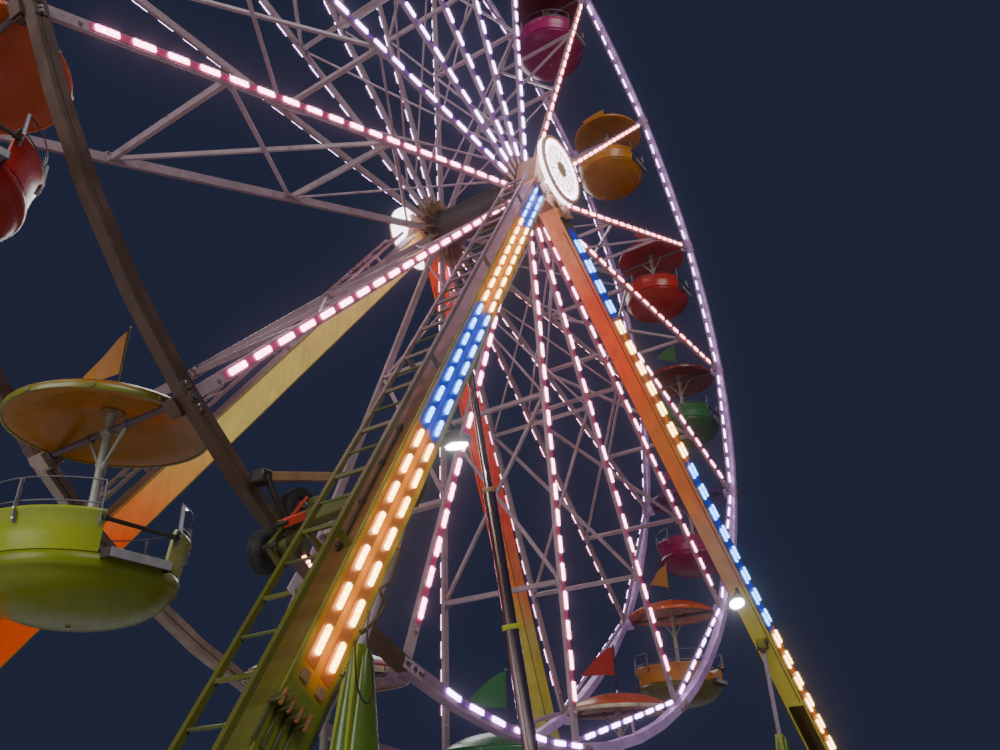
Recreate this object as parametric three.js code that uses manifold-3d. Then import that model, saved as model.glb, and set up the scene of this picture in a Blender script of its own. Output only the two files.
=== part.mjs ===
// Sixteen-cabin travelling ferris wheel on two splayed A-frames.
// Millimetres, +Z up. The axle lies along Y, the near side is -Y, the origin is on the ground under the hub.
import * as THREE from 'three';
import { mergeVertices } from 'three/addons/utils/BufferGeometryUtils.js';
import Module from 'manifold-3d';

const wasm = await Module();
wasm.setup();

// Driving dimensions
const SPOKES = 16;
const STEP = (2 * Math.PI) / SPOKES;
const REST_ANGLE = 2 * Math.PI / 180;
const HUB_HEIGHT = 10300;
const NODE_RADIUS = 8000;
const JOINT_GAP = 0.3;

// Wheel rims: two box rings, each outboard of its spokes
const RIM_INNER = 7930;
const RIM_OUTER = 8050;
const RIM_FACE_IN = 920;
const RIM_FACE_OUT = 1040;
const RIM_START = -0.45 * Math.PI / 180;
const ARC_STEPS = 4;

// Spokes: the outer face leans out from the hub to the rim
const SPOKE_FACE_HUB = 843;
const SPOKE_FACE_RIM = 951;
const SPOKE_DEEP = 46;
const SPOKE_WIDE = 100;
const FLANGE_RADIUS = 340;
const CROSS_RADII = [3500, 6080];
const CROSS_TUBE = 60;
const DIAGONAL_TUBE = 44;
const LIGHT_BAR_RADIUS = 7900;
const LIGHT_BAR = 40;
const LIGHT_BAR_END_GAP = 70;
const LIGHT_BAR_STUB = 30;
// Bays without light bars, counted from the first
const UNLIT_BAYS = [9, 10, 11];
// The bay that is made of two sides and their ties, over the topmost cabin
const BOLTED_BAY = 4;

// Cabin bearings at the nodes
const BEARING_HALF = 80;
const BEARING_REST = 55;
const BEARING_FACE = 800;
const AXLE_END = BEARING_FACE - JOINT_GAP;

// Hub
const DRUM_RADIUS = 290;
const FLANGE_FACE = 835;
const FLANGE_BACK = 715;
const SHAFT_RADIUS = 85;
const SHAFT_END = 1330;
const SHAFT_SIDES = 16;
const HEAD_OVERHANG = 55;
const HEAD_SHOULDERS = [[300, 330], [130, 420]];
const HEAD_HOLE = (SHAFT_RADIUS + JOINT_GAP) / Math.cos(Math.PI / SHAFT_SIDES);

// A-frame legs: box sections that splay outwards to the ground
const APEX_RISE = 100;
const LEG_ANGLE = 33.84 * Math.PI / 180;
const LEG_SPLAY = 0.136;
const LEG_APEX_Y = 1032;
const LEG_HALF_WIDE = 172;
const LEG_HALF_DEEP = 145;
const LEG_START = 500;
const LEG_FOOT_Z = 560;
const HOLLOW_START = 8750;
const HOLLOW_END = 11500;
const LEG_WALL = 26;

// Ladders on the outer faces of the left legs
const LADDER_STAND = 352;
const LADDER_HALF = 165;
const LADDER_RAIL = 38;
const LADDER_TOP_ALONG = 900;
const LADDER_FOOT_Z = 900;
const RUNG_START = 1050;
const RUNG_PITCH = 600;
const RUNG_COUNT = 18;
const RUNG = 26;
const LADDER_BRACKET = 36;
const BRACKET_EVERY = 4;
const BRACKET_INSET = 30;

// Medallion on each hub end
const MEDALLION_RADIUS = 550;
const MEDALLION_FACE = 1480;
const MEDALLION_DEEP = 90;
const MEDALLION_RISE = 130;
const MEDALLION_SIDES = 28;
const MEDALLION_STUBS = [[-200, -170], [200, -170], [0, 280]];
const STUB_RADIUS = 24;

// Base frame
const PAD_HIGH = 60;
const SIDE_PAD = { x: 4400, half: 200, column: [90, 90] };
const CROSS_PAD = { inset: 260, half: 260, column: [110, 110] };
const BEAM_LOW = 160;
const BEAM_TOP = 500;
const SIDE_Y = 2000;
const SIDE_WIDE = 240;
const CROSS_X = 6640;
const CROSS_HALF_Y = 3050;
const CROSS_WIDE = 460;
const CENTRE_HALF = 150;
const WELD = 20;

// Struts between the near side of the base and the near legs
const STRUT_X = 4530;
const STRUT_Y = 1970;
const STRUT_TOP = 2655;
const STRUT_FOOT_HALF = [340, 120];
const STRUT_TOP_HALF = [52, 52];
const STRUT_ALONG = 7700;
const ROD_RADIUS = 28;
const ROD_SUNK = 60;

// Telescopic raising cylinder beside the near left leg
const LIFT_ALONG = 5660;
const LIFT_FOOT = [-2046, -2000, 550];
const LIFT_SHOE = { halfX: 110, halfY: 90, high: 180 };
const LIFT_STAGES = [[0.01, 0.51, 68], [0.49, 0.75, 60], [0.73, 1, 36]];
const LUG_HALF = 55;
const LUG_DEEP = 110;

// Rim drive on the near left leg
const DRIVE_ANGLE = 236.15 * Math.PI / 180;
const TYRE_RADIUS = 178;
const TYRE_HALF = 60;
const TYRE_Y = -1045;
const TYRE_CLEAR = 5;
const TYRE_SHAFT = 30;
const ARM_Y = -1240;
const DRIVE_ALONG = 8000;
const DRIVE_PLATE = { above: 320, below: 180, inset: 30, thick: 40 };
const DRIVE_STEM = 150;
const DRIVE_DROP = 60;
const SWING_ARM = { wide: 90, deep: 70, bossRadius: 75, bossHalf: 45 };
const KNUCKLE = [-4817, -1150, 3979];
const KNUCKLE_ARM = 70;
const KNUCKLE_ALONG = 240;

// Boarding deck
const DECK_TOP = 640;
const DECK_IN = 860;
const DECK_OUT = 2960;
const DECK_HALF_X = 1750;
const DECK_THICK = 60;
const DECK_POST = { inset: 60, half: 40 };
const DECK_BLOCK = { x: 1200, half: 60 };

// Cabin, measured from its axle: tub, post, canopy and flag pole as one turned profile
const POST_RADIUS = 36;
const AXLE_RADIUS = 32;
const FLAG_RADIUS = 18;
const FLAG_TOP = 1000;
const CABIN_PROFILE = [
  [0, -1540], [440, -1490], [708, -1290], [754, -889], [720, -889], [560, -1350],
  [POST_RADIUS, -1350], [POST_RADIUS, 190], [785, 0], [785, 66], [470, 215], [FLAG_RADIUS, 272],
  [FLAG_RADIUS, FLAG_TOP], [0, FLAG_TOP],
];
const CABIN_SIDES = 12;
const ENTRY_HALF = 270;
const ENTRY_SILL = -1180;
const ENTRY_TOP = -600;
const ENTRY_DEPTHS = [500, 900];
const BRACE_REACH = 245;
const BRACE_DROP = -310;
const BRACE_TUBE = 34;

const group = new THREE.Group();

function toSolid(geometry) {
  const bare = geometry.clone();
  bare.deleteAttribute('normal');
  bare.deleteAttribute('uv');
  const welded = mergeVertices(bare, 1e-3);
  const mesh = new wasm.Mesh({
    numProp: 3,
    vertProperties: new Float32Array(welded.attributes.position.array),
    triVerts: new Uint32Array(welded.index.array),
  });
  return new wasm.Manifold(mesh);
}

function toGeometry(solid) {
  const mesh = solid.getMesh();
  const geometry = new THREE.BufferGeometry();
  geometry.setAttribute('position', new THREE.BufferAttribute(new Float32Array(mesh.vertProperties), 3));
  geometry.setIndex(new THREE.BufferAttribute(new Uint32Array(mesh.triVerts), 1));
  geometry.computeVertexNormals();
  return geometry;
}

function fuse(geometries) {
  let whole = toSolid(geometries[0]);
  for (const geometry of geometries.slice(1)) {
    whole = whole.add(toSolid(geometry));
  }
  return toGeometry(whole);
}

function cut(geometry, tools) {
  let whole = toSolid(geometry);
  for (const tool of tools) {
    whole = whole.subtract(toSolid(tool));
  }
  return toGeometry(whole);
}

function addMesh(name, geometry, colour) {
  const material = new THREE.MeshStandardMaterial({ color: colour });
  const mesh = new THREE.Mesh(geometry, material);
  mesh.name = name;
  group.add(mesh);
  return mesh;
}

function box(low, high) {
  const geometry = new THREE.BoxGeometry(high[0] - low[0], high[1] - low[1], high[2] - low[2]);
  geometry.translate((low[0] + high[0]) / 2, (low[1] + high[1]) / 2, (low[2] + high[2]) / 2);
  return geometry;
}

// A straight bar from one point to another; the section's second side runs along the hint
function bar(from, to, wide, deep, hint) {
  const start = new THREE.Vector3(...from);
  const axis = new THREE.Vector3(...to).sub(start);
  const length = axis.length();
  axis.normalize();
  const side = new THREE.Vector3(...hint).cross(axis).normalize();
  const second = axis.clone().cross(side);
  const geometry = new THREE.BoxGeometry(wide, deep, length);
  geometry.translate(0, 0, length / 2);
  const frame = new THREE.Matrix4().makeBasis(side, second, axis);
  frame.setPosition(start);
  geometry.applyMatrix4(frame);
  return geometry;
}

function rod(from, to, radius, sides) {
  const start = new THREE.Vector3(...from);
  const axis = new THREE.Vector3(...to).sub(start);
  const length = axis.length();
  const geometry = new THREE.CylinderGeometry(radius, radius, length, sides);
  geometry.translate(0, length / 2, 0);
  const turn = new THREE.Quaternion().setFromUnitVectors(new THREE.Vector3(0, 1, 0), axis.normalize());
  geometry.applyQuaternion(turn);
  geometry.translate(start.x, start.y, start.z);
  return geometry;
}

// A disc or drum about an axis along Y
function drum(radius, yLow, yHigh, sides) {
  const geometry = new THREE.CylinderGeometry(radius, radius, yHigh - yLow, sides);
  geometry.translate(0, (yLow + yHigh) / 2, 0);
  return geometry;
}

// A closed profile turned about the vertical axis
function turned(profile, sides) {
  const points = profile.map((p) => new THREE.Vector2(p[0], p[1]));
  const geometry = new THREE.LatheGeometry(points, sides);
  geometry.rotateX(Math.PI / 2);
  return geometry;
}

// One rim section between two nodes, as a flat sector pushed through along Y
function rimArc(yLow, yHigh) {
  const end = STEP + RIM_START - JOINT_GAP / RIM_OUTER;
  const shape = new THREE.Shape();
  for (let i = 0; i <= ARC_STEPS; i += 1) {
    const a = RIM_START + (end - RIM_START) * i / ARC_STEPS;
    const x = RIM_OUTER * Math.cos(a);
    const z = RIM_OUTER * Math.sin(a);
    if (i === 0) shape.moveTo(x, z);
    else shape.lineTo(x, z);
  }
  for (let i = ARC_STEPS; i >= 0; i -= 1) {
    const a = RIM_START + (end - RIM_START) * i / ARC_STEPS;
    shape.lineTo(RIM_INNER * Math.cos(a), RIM_INNER * Math.sin(a));
  }
  const geometry = new THREE.ExtrudeGeometry(shape, { depth: yHigh - yLow, bevelEnabled: false });
  geometry.rotateX(Math.PI / 2);
  geometry.translate(0, yHigh, 0);
  return geometry;
}

function spokeMid(radius) {
  return SPOKE_FACE_HUB + (SPOKE_FACE_RIM - SPOKE_FACE_HUB) * radius / NODE_RADIUS - SPOKE_DEEP / 2;
}

// A spoke of one side, optionally grown by a gap all round
function spokeBar(side, grow) {
  const inner = FLANGE_RADIUS + JOINT_GAP;
  const outer = RIM_INNER + 30;
  const root = [inner, side * spokeMid(inner), 0];
  const tip = [outer, side * spokeMid(outer), 0];
  return bar(root, tip, SPOKE_WIDE + 2 * grow, SPOKE_DEEP + 2 * grow, [0, 1, 0]);
}

// One side of a bay: its spoke, its bearing block and the rim section that follows it
function baySide(side, withLightBars) {
  const pieces = [spokeBar(side, 0)];
  const low = side < 0 ? -RIM_FACE_OUT : RIM_FACE_IN;
  const high = side < 0 ? -RIM_FACE_IN : RIM_FACE_OUT;
  pieces.push(rimArc(low, high));
  const blockLow = side < 0 ? -(RIM_FACE_IN + 10) : BEARING_FACE;
  const blockHigh = side < 0 ? -BEARING_FACE : RIM_FACE_IN + 10;
  const nodeBlock = [
    [NODE_RADIUS - BEARING_HALF, blockLow, -BEARING_REST],
    [NODE_RADIUS + BEARING_HALF, blockHigh, BEARING_HALF],
  ];
  pieces.push(box(nodeBlock[0], nodeBlock[1]));
  if (withLightBars) {
    const face = SPOKE_FACE_RIM - LIGHT_BAR / 2;
    const from = new THREE.Vector3(LIGHT_BAR_RADIUS, side * face, 0);
    const far = from.clone().applyAxisAngle(new THREE.Vector3(0, 1, 0), -STEP);
    const length = from.distanceTo(far);
    const to = from.clone().lerp(far, (length - LIGHT_BAR_END_GAP) / length);
    pieces.push(bar(from.toArray(), to.toArray(), LIGHT_BAR, LIGHT_BAR, [0, 1, 0]));
    const foot = from.clone().lerp(far, 0.5);
    const reach = Math.hypot(foot.x, foot.z);
    const grow = (RIM_INNER + 20) / reach;
    const head = [foot.x * grow, foot.y, foot.z * grow];
    pieces.push(bar(foot.toArray(), head, LIGHT_BAR_STUB, LIGHT_BAR_STUB, [0, 1, 0]));
  }
  return pieces;
}

// The ties and diagonals between the two spokes of a bay
function bayTies() {
  const pieces = [];
  for (const radius of CROSS_RADII) {
    const reach = spokeMid(radius);
    pieces.push(bar([radius, -reach, 0], [radius, reach, 0], CROSS_TUBE, CROSS_TUBE, [0, 0, 1]));
  }
  const [low, high] = CROSS_RADII;
  for (const side of [-1, 1]) {
    const from = [low, side * spokeMid(low), 0];
    const to = [high, -side * spokeMid(high), 0];
    pieces.push(bar(from, to, DIAGONAL_TUBE, DIAGONAL_TUBE, [0, 0, 1]));
  }
  return pieces;
}

function addBayMesh(name, k, shape) {
  const geometry = shape.clone();
  geometry.rotateY(-(REST_ANGLE + k * STEP));
  geometry.translate(0, 0, HUB_HEIGHT);
  addMesh(name, geometry, 0xc9c2bd);
}

// Each bay is one welded piece, but for the one whose two sides and ties are bolted together
function buildBays() {
  const wholeBay = (lit) => fuse([...baySide(-1, lit), ...baySide(1, lit), ...bayTies()]);
  const lit = wholeBay(true);
  const unlit = wholeBay(false);
  for (let k = 0; k < SPOKES; k += 1) {
    const name = `wheel_bay_${String(k + 1).padStart(2, '0')}`;
    if (k === BOLTED_BAY) {
      const seats = [-1, 1].map((side) => spokeBar(side, JOINT_GAP));
      addBayMesh(`${name}_near`, k, fuse(baySide(-1, true)));
      addBayMesh(`${name}_far`, k, fuse(baySide(1, true)));
      addBayMesh(`${name}_ties`, k, cut(fuse(bayTies()), seats));
    } else {
      addBayMesh(name, k, UNLIT_BAYS.includes(k) ? unlit : lit);
    }
  }
}

function buildHub() {
  const pieces = [
    drum(DRUM_RADIUS, -FLANGE_BACK - 10, FLANGE_BACK + 10, 12),
    drum(SHAFT_RADIUS, -SHAFT_END, SHAFT_END, SHAFT_SIDES),
  ];
  for (const side of [-1, 1]) {
    const low = side < 0 ? -FLANGE_FACE : FLANGE_BACK;
    const high = side < 0 ? -FLANGE_BACK : FLANGE_FACE;
    pieces.push(drum(FLANGE_RADIUS, low, high, SPOKES));
  }
  const geometry = fuse(pieces);
  geometry.translate(0, 0, HUB_HEIGHT);
  addMesh('hub_drum', geometry, 0x3a3230);
}

function cabinGeometry() {
  const body = turned(CABIN_PROFILE, CABIN_SIDES);
  const [nearY, farY] = ENTRY_DEPTHS;
  const entries = [
    box([-ENTRY_HALF, -farY, ENTRY_SILL], [ENTRY_HALF, -nearY, ENTRY_TOP]),
    box([-ENTRY_HALF, nearY, ENTRY_SILL], [ENTRY_HALF, farY, ENTRY_TOP]),
  ];
  const pieces = [
    cut(body, entries),
    rod([0, -AXLE_END, 0], [0, AXLE_END, 0], AXLE_RADIUS, 6),
  ];
  for (const side of [-1, 1]) {
    pieces.push(bar([0, 0, BRACE_DROP], [0, side * BRACE_REACH, 0], BRACE_TUBE, BRACE_TUBE, [1, 0, 0]));
  }
  return fuse(pieces);
}

function buildCabins() {
  const cabin = cabinGeometry();
  for (let k = 0; k < SPOKES; k += 1) {
    const a = REST_ANGLE + k * STEP;
    const geometry = cabin.clone();
    geometry.translate(NODE_RADIUS * Math.cos(a), 0, HUB_HEIGHT + NODE_RADIUS * Math.sin(a));
    addMesh(`cabin_${String(k + 1).padStart(2, '0')}`, geometry, 0xd98a1e);
  }
}

// A point on a leg: distance down its axis, offset to the inner side, offset along Y
function legPoint(frameSide, legSide, along, inward, outY) {
  const down = [legSide * Math.sin(LEG_ANGLE), -Math.cos(LEG_ANGLE)];
  const inner = [-legSide * Math.cos(LEG_ANGLE), -Math.sin(LEG_ANGLE)];
  return [
    down[0] * along + inner[0] * inward,
    frameSide * (LEG_APEX_Y + LEG_SPLAY * along + outY),
    HUB_HEIGHT + APEX_RISE + down[1] * along + inner[1] * inward,
  ];
}

function legLength(z) {
  return (HUB_HEIGHT + APEX_RISE - z) / Math.cos(LEG_ANGLE);
}

function prism(bottom, top) {
  const geometry = new THREE.BufferGeometry();
  const points = [...bottom, ...top].flat();
  geometry.setAttribute('position', new THREE.BufferAttribute(new Float32Array(points), 3));
  const n = bottom.length;
  const index = [];
  for (let i = 1; i < n - 1; i += 1) {
    index.push(0, i + 1, i);
    index.push(n, n + i, n + i + 1);
  }
  for (let i = 0; i < n; i += 1) {
    const j = (i + 1) % n;
    index.push(i, j, n + j);
    index.push(i, n + j, n + i);
  }
  geometry.setIndex(index);
  return outward(geometry);
}

// Turns a closed geometry so that its faces look outwards
function outward(geometry) {
  const p = geometry.attributes.position;
  const index = geometry.index.array;
  const a = new THREE.Vector3();
  const b = new THREE.Vector3();
  const c = new THREE.Vector3();
  let volume = 0;
  for (let i = 0; i < index.length; i += 3) {
    a.fromBufferAttribute(p, index[i]);
    b.fromBufferAttribute(p, index[i + 1]);
    c.fromBufferAttribute(p, index[i + 2]);
    volume += a.dot(b.cross(c));
  }
  if (volume < 0) {
    for (let i = 0; i < index.length; i += 3) {
      const keep = index[i + 1];
      index[i + 1] = index[i + 2];
      index[i + 2] = keep;
    }
  }
  return geometry;
}

function legGeometry(frameSide, legSide) {
  const ring = (along) => [
    legPoint(frameSide, legSide, along, -LEG_HALF_WIDE, -LEG_HALF_DEEP),
    legPoint(frameSide, legSide, along, LEG_HALF_WIDE, -LEG_HALF_DEEP),
    legPoint(frameSide, legSide, along, LEG_HALF_WIDE, LEG_HALF_DEEP),
    legPoint(frameSide, legSide, along, -LEG_HALF_WIDE, LEG_HALF_DEEP),
  ];
  const foot = ring(legLength(LEG_FOOT_Z));
  for (const point of foot) {
    const shift = (point[2] - (BEAM_TOP + JOINT_GAP)) / Math.cos(LEG_ANGLE);
    point[0] += legSide * Math.sin(LEG_ANGLE) * shift;
    point[1] += frameSide * LEG_SPLAY * shift;
    point[2] = BEAM_TOP + JOINT_GAP;
  }
  const hollow = (along) => [
    legPoint(frameSide, legSide, along, -LEG_HALF_WIDE + LEG_WALL, -LEG_HALF_DEEP + LEG_WALL),
    legPoint(frameSide, legSide, along, LEG_HALF_WIDE + LEG_WALL, -LEG_HALF_DEEP + LEG_WALL),
    legPoint(frameSide, legSide, along, LEG_HALF_WIDE + LEG_WALL, LEG_HALF_DEEP - LEG_WALL),
    legPoint(frameSide, legSide, along, -LEG_HALF_WIDE + LEG_WALL, LEG_HALF_DEEP - LEG_WALL),
  ];
  return cut(prism(ring(LEG_START), foot), [prism(hollow(HOLLOW_START), hollow(HOLLOW_END))]);
}

function buildLegs() {
  for (const frameSide of [-1, 1]) {
    for (const legSide of [-1, 1]) {
      const name = `leg_${frameSide < 0 ? 'near' : 'far'}_${legSide < 0 ? 'left' : 'right'}`;
      addMesh(name, legGeometry(frameSide, legSide), 0x9aa31c);
    }
  }
}

// Head plate box that joins the two leg tops and carries the shaft
function buildHeads() {
  const sin = Math.sin(LEG_ANGLE);
  const cos = Math.cos(LEG_ANGLE);
  const end = LEG_START - JOINT_GAP;
  const outerFoot = [end * sin + LEG_HALF_WIDE * cos, -end * cos + LEG_HALF_WIDE * sin + APEX_RISE];
  const innerFoot = [end * sin - LEG_HALF_WIDE * cos, -end * cos - LEG_HALF_WIDE * sin + APEX_RISE];
  const half = [outerFoot, ...HEAD_SHOULDERS];
  const mirrored = [innerFoot, ...half].map((p) => [-p[0], p[1]]).reverse();
  const outline = [innerFoot, ...half, ...mirrored];
  for (const side of [-1, 1]) {
    const y0 = side * (LEG_APEX_Y - LEG_HALF_DEEP);
    const y1 = side * (LEG_APEX_Y + LEG_HALF_DEEP + HEAD_OVERHANG);
    const body = prism(outline.map((p) => [p[0], y0, p[1]]), outline.map((p) => [p[0], y1, p[1]]));
    const hole = drum(HEAD_HOLE, Math.min(y0, y1) - 5, Math.max(y0, y1) + 5, SHAFT_SIDES);
    hole.rotateY(Math.PI / SHAFT_SIDES);
    const geometry = cut(body, [hole]);
    geometry.translate(0, 0, HUB_HEIGHT);
    addMesh(`bearing_head_${side < 0 ? 'near' : 'far'}`, geometry, 0x8d8a3a);
  }
}

function buildMedallions() {
  for (const side of [-1, 1]) {
    const back = LEG_APEX_Y + LEG_HALF_DEEP + HEAD_OVERHANG + JOINT_GAP;
    const plateBack = MEDALLION_FACE - MEDALLION_DEEP;
    const low = Math.min(side * plateBack, side * MEDALLION_FACE);
    const disc = drum(MEDALLION_RADIUS, low, low + MEDALLION_DEEP, MEDALLION_SIDES);
    disc.translate(0, 0, MEDALLION_RISE);
    const pieces = [disc];
    for (const [x, z] of MEDALLION_STUBS) {
      pieces.push(rod([x, side * back, z], [x, side * (plateBack + 20), z], STUB_RADIUS, 6));
    }
    const geometry = fuse(pieces);
    geometry.translate(0, 0, HUB_HEIGHT);
    addMesh(`medallion_${side < 0 ? 'near' : 'far'}`, geometry, 0xf2ecf5);
  }
}

// Ladder rails and rungs stand off the outer face of a left leg on short brackets
function ladderGeometry(frameSide) {
  const low = legLength(LADDER_FOOT_Z);
  const at = (along, inward, outY) => legPoint(frameSide, -1, along, inward, outY);
  const pieces = [];
  for (const edge of [-1, 1]) {
    const outY = edge * LADDER_HALF;
    const top = at(LADDER_TOP_ALONG, -LADDER_STAND, outY);
    pieces.push(bar(top, at(low, -LADDER_STAND, outY), LADDER_RAIL, LADDER_RAIL, [0, 1, 0]));
  }
  for (let i = 0; i < RUNG_COUNT; i += 1) {
    const along = RUNG_START + i * RUNG_PITCH;
    const from = at(along, -LADDER_STAND, -LADDER_HALF);
    pieces.push(bar(from, at(along, -LADDER_STAND, LADDER_HALF), RUNG, RUNG, [1, 0, 0]));
    if (i % BRACKET_EVERY === 1) {
      for (const edge of [-1, 1]) {
        const outY = edge * (LEG_HALF_DEEP - BRACKET_INSET);
        const rail = at(along, -LADDER_STAND, outY);
        const face = at(along, -LEG_HALF_WIDE - JOINT_GAP, outY);
        pieces.push(bar(rail, face, LADDER_BRACKET, LADDER_BRACKET, [0, 1, 0]));
      }
    }
  }
  return fuse(pieces);
}

function buildLadders() {
  addMesh('ladder_near', ladderGeometry(-1), 0x9aa31c);
  addMesh('ladder_far', ladderGeometry(1), 0x9aa31c);
}

// A four-sided column that narrows upwards
function column(x, y, zLow, zHigh, halfLow, halfHigh) {
  const corners = [[-1, -1], [1, -1], [1, 1], [-1, 1]];
  const ring = ([halfX, halfY], z) => corners.map(([sx, sy]) => [x + sx * halfX, y + sy * halfY, z]);
  return prism(ring(halfLow, zLow), ring(halfHigh, zHigh));
}

// A lug against the inner side of a leg, where a rod or cylinder ends
function legLug(frameSide, legSide, along, outY) {
  const ring = (inward) => [
    legPoint(frameSide, legSide, along - LUG_HALF, inward, outY - LUG_HALF),
    legPoint(frameSide, legSide, along + LUG_HALF, inward, outY - LUG_HALF),
    legPoint(frameSide, legSide, along + LUG_HALF, inward, outY + LUG_HALF),
    legPoint(frameSide, legSide, along - LUG_HALF, inward, outY + LUG_HALF),
  ];
  return prism(ring(LEG_HALF_WIDE + JOINT_GAP), ring(LEG_HALF_WIDE + LUG_DEEP));
}

// A square foot pad with the short column that joins it to a beam
function pad(x, y, sizes) {
  return [
    column(x, y, PAD_HIGH - WELD / 2, BEAM_LOW + WELD, sizes.column, sizes.column),
    box([x - sizes.half, y - sizes.half, 0], [x + sizes.half, y + sizes.half, PAD_HIGH]),
  ];
}

function buildBase() {
  for (const side of [-1, 1]) {
    const y = side * SIDE_Y;
    const x = CROSS_X - CROSS_WIDE / 2 - JOINT_GAP;
    const pieces = [box([-x, y - SIDE_WIDE / 2, BEAM_LOW], [x, y + SIDE_WIDE / 2, BEAM_TOP])];
    for (const sx of side < 0 ? [-1, 1] : []) {
      const tip = legPoint(side, sx, STRUT_ALONG, LEG_HALF_WIDE + LUG_DEEP / 2, 0);
      const post = side * STRUT_Y;
      pieces.push(column(sx * STRUT_X, post, BEAM_TOP - WELD, STRUT_TOP, STRUT_FOOT_HALF, STRUT_TOP_HALF));
      pieces.push(rod([sx * STRUT_X, post, STRUT_TOP - ROD_SUNK], tip, ROD_RADIUS, 8));
      pieces.push(legLug(side, sx, STRUT_ALONG, 0));
    }
    for (const sx of [-1, 1]) {
      pieces.push(...pad(sx * SIDE_PAD.x, y, SIDE_PAD));
    }
    addMesh(`base_beam_${side < 0 ? 'near' : 'far'}`, fuse(pieces), 0x8f9a1e);
  }
  for (const sx of [-1, 1]) {
    const x = sx * CROSS_X;
    const half = CROSS_WIDE / 2;
    const pieces = [box([x - half, -CROSS_HALF_Y, BEAM_LOW], [x + half, CROSS_HALF_Y, BEAM_TOP])];
    for (const sy of [-1, 1]) {
      pieces.push(...pad(x, sy * (CROSS_HALF_Y - CROSS_PAD.inset), CROSS_PAD));
    }
    addMesh(`base_cross_${sx < 0 ? 'left' : 'right'}`, fuse(pieces), 0x8f9a1e);
  }
  const inner = SIDE_Y - SIDE_WIDE / 2 - JOINT_GAP;
  const centre = box([-CENTRE_HALF, -inner, BEAM_LOW], [CENTRE_HALF, inner, BEAM_TOP]);
  addMesh('base_cross_centre', centre, 0x8f9a1e);
}

function buildLift() {
  const foot = new THREE.Vector3(...LIFT_FOOT);
  const top = new THREE.Vector3(...legPoint(-1, -1, LIFT_ALONG, LEG_HALF_WIDE + LUG_DEEP / 2, 0));
  const seat = BEAM_TOP + JOINT_GAP;
  const { halfX, halfY, high } = LIFT_SHOE;
  const pieces = [box([foot.x - halfX, foot.y - halfY, seat], [foot.x + halfX, foot.y + halfY, seat + high])];
  for (const [from, to, radius] of LIFT_STAGES) {
    const low = foot.clone().lerp(top, from);
    const end = foot.clone().lerp(top, to);
    pieces.push(rod(low.toArray(), end.toArray(), radius, 10));
  }
  pieces.push(legLug(-1, -1, LIFT_ALONG, 0));
  addMesh('lift_cylinder', fuse(pieces), 0x9a97a0);
}

function drivePoint(radius, y) {
  return [radius * Math.cos(DRIVE_ANGLE), y, HUB_HEIGHT + radius * Math.sin(DRIVE_ANGLE)];
}

function buildDrive() {
  const flat = RIM_INNER * Math.cos((STEP / ARC_STEPS) / 2);
  const radii = { outer: RIM_OUTER + TYRE_CLEAR + TYRE_RADIUS, inner: flat - TYRE_CLEAR - TYRE_RADIUS };
  const plate = (outY) => {
    const high = DRIVE_ALONG - DRIVE_PLATE.above;
    const low = DRIVE_ALONG + DRIVE_PLATE.below;
    const half = LEG_HALF_WIDE - DRIVE_PLATE.inset;
    return [
      legPoint(-1, -1, high, -half, outY),
      legPoint(-1, -1, low, -half, outY),
      legPoint(-1, -1, low, half, outY),
      legPoint(-1, -1, high, half, outY),
    ];
  };
  const inPlate = -LEG_HALF_DEEP - DRIVE_PLATE.inset;
  const root = legPoint(-1, -1, DRIVE_ALONG, 0, inPlate);
  const pivot = [root[0], ARM_Y, root[2] - DRIVE_DROP];
  const elbow = legPoint(-1, -1, DRIVE_ALONG - KNUCKLE_ALONG, 0, inPlate);
  const [kx, ky, kz] = KNUCKLE;
  const arms = [
    prism(plate(-LEG_HALF_DEEP - JOINT_GAP), plate(-LEG_HALF_DEEP - DRIVE_PLATE.thick)),
    bar(root, pivot, DRIVE_STEM, DRIVE_STEM, [0, 0, 1]),
    bar(elbow, KNUCKLE, KNUCKLE_ARM, KNUCKLE_ARM, [0, 0, 1]),
    box([kx - 70, ky - 60, kz - 70], [kx + 50, ky + 60, kz + 50]),
  ];
  for (const name of ['outer', 'inner']) {
    const centre = drivePoint(radii[name], TYRE_Y);
    const disc = drum(TYRE_RADIUS, -TYRE_HALF, TYRE_HALF, 24);
    const shaft = drum(TYRE_SHAFT, ARM_Y - TYRE_Y, 0, SHAFT_SIDES);
    const tyre = fuse([disc, shaft]);
    tyre.translate(...centre);
    addMesh(`drive_tyre_${name}`, tyre, 0x1a1718);

    const hold = drivePoint(radii[name], ARM_Y);
    const bore = (TYRE_SHAFT + JOINT_GAP) / Math.cos(Math.PI / SHAFT_SIDES);
    const boss = drum(SWING_ARM.bossRadius, -SWING_ARM.bossHalf, SWING_ARM.bossHalf, 12).translate(...hold);
    const arm = fuse([bar(pivot, hold, SWING_ARM.wide, SWING_ARM.deep, [0, 1, 0]), boss]);
    arms.push(cut(arm, [drum(bore, -1, 200, SHAFT_SIDES).translate(...hold)]));
  }
  addMesh('drive_bracket', fuse(arms), 0x8f9a1e);
}

function buildDeck() {
  const within = DECK_TOP - DECK_THICK / 2;
  const pieces = [box([-DECK_HALF_X, -DECK_OUT, DECK_TOP - DECK_THICK], [DECK_HALF_X, -DECK_IN, DECK_TOP])];
  for (const side of [-1, 1]) {
    const x = side * (DECK_HALF_X - DECK_POST.inset);
    for (const y of [-DECK_OUT + DECK_POST.inset, -DECK_IN - DECK_POST.inset]) {
      const thick = DECK_POST.half;
      pieces.push(box([x - thick, y - thick, 0], [x + thick, y + thick, within]));
    }
    const { half } = DECK_BLOCK;
    const mid = side * DECK_BLOCK.x;
    const seat = BEAM_TOP + JOINT_GAP;
    pieces.push(box([mid - half, -SIDE_Y - half, seat], [mid + half, -SIDE_Y + half, within]));
  }
  addMesh('boarding_deck', fuse(pieces), 0x6f7074);
}

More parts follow.
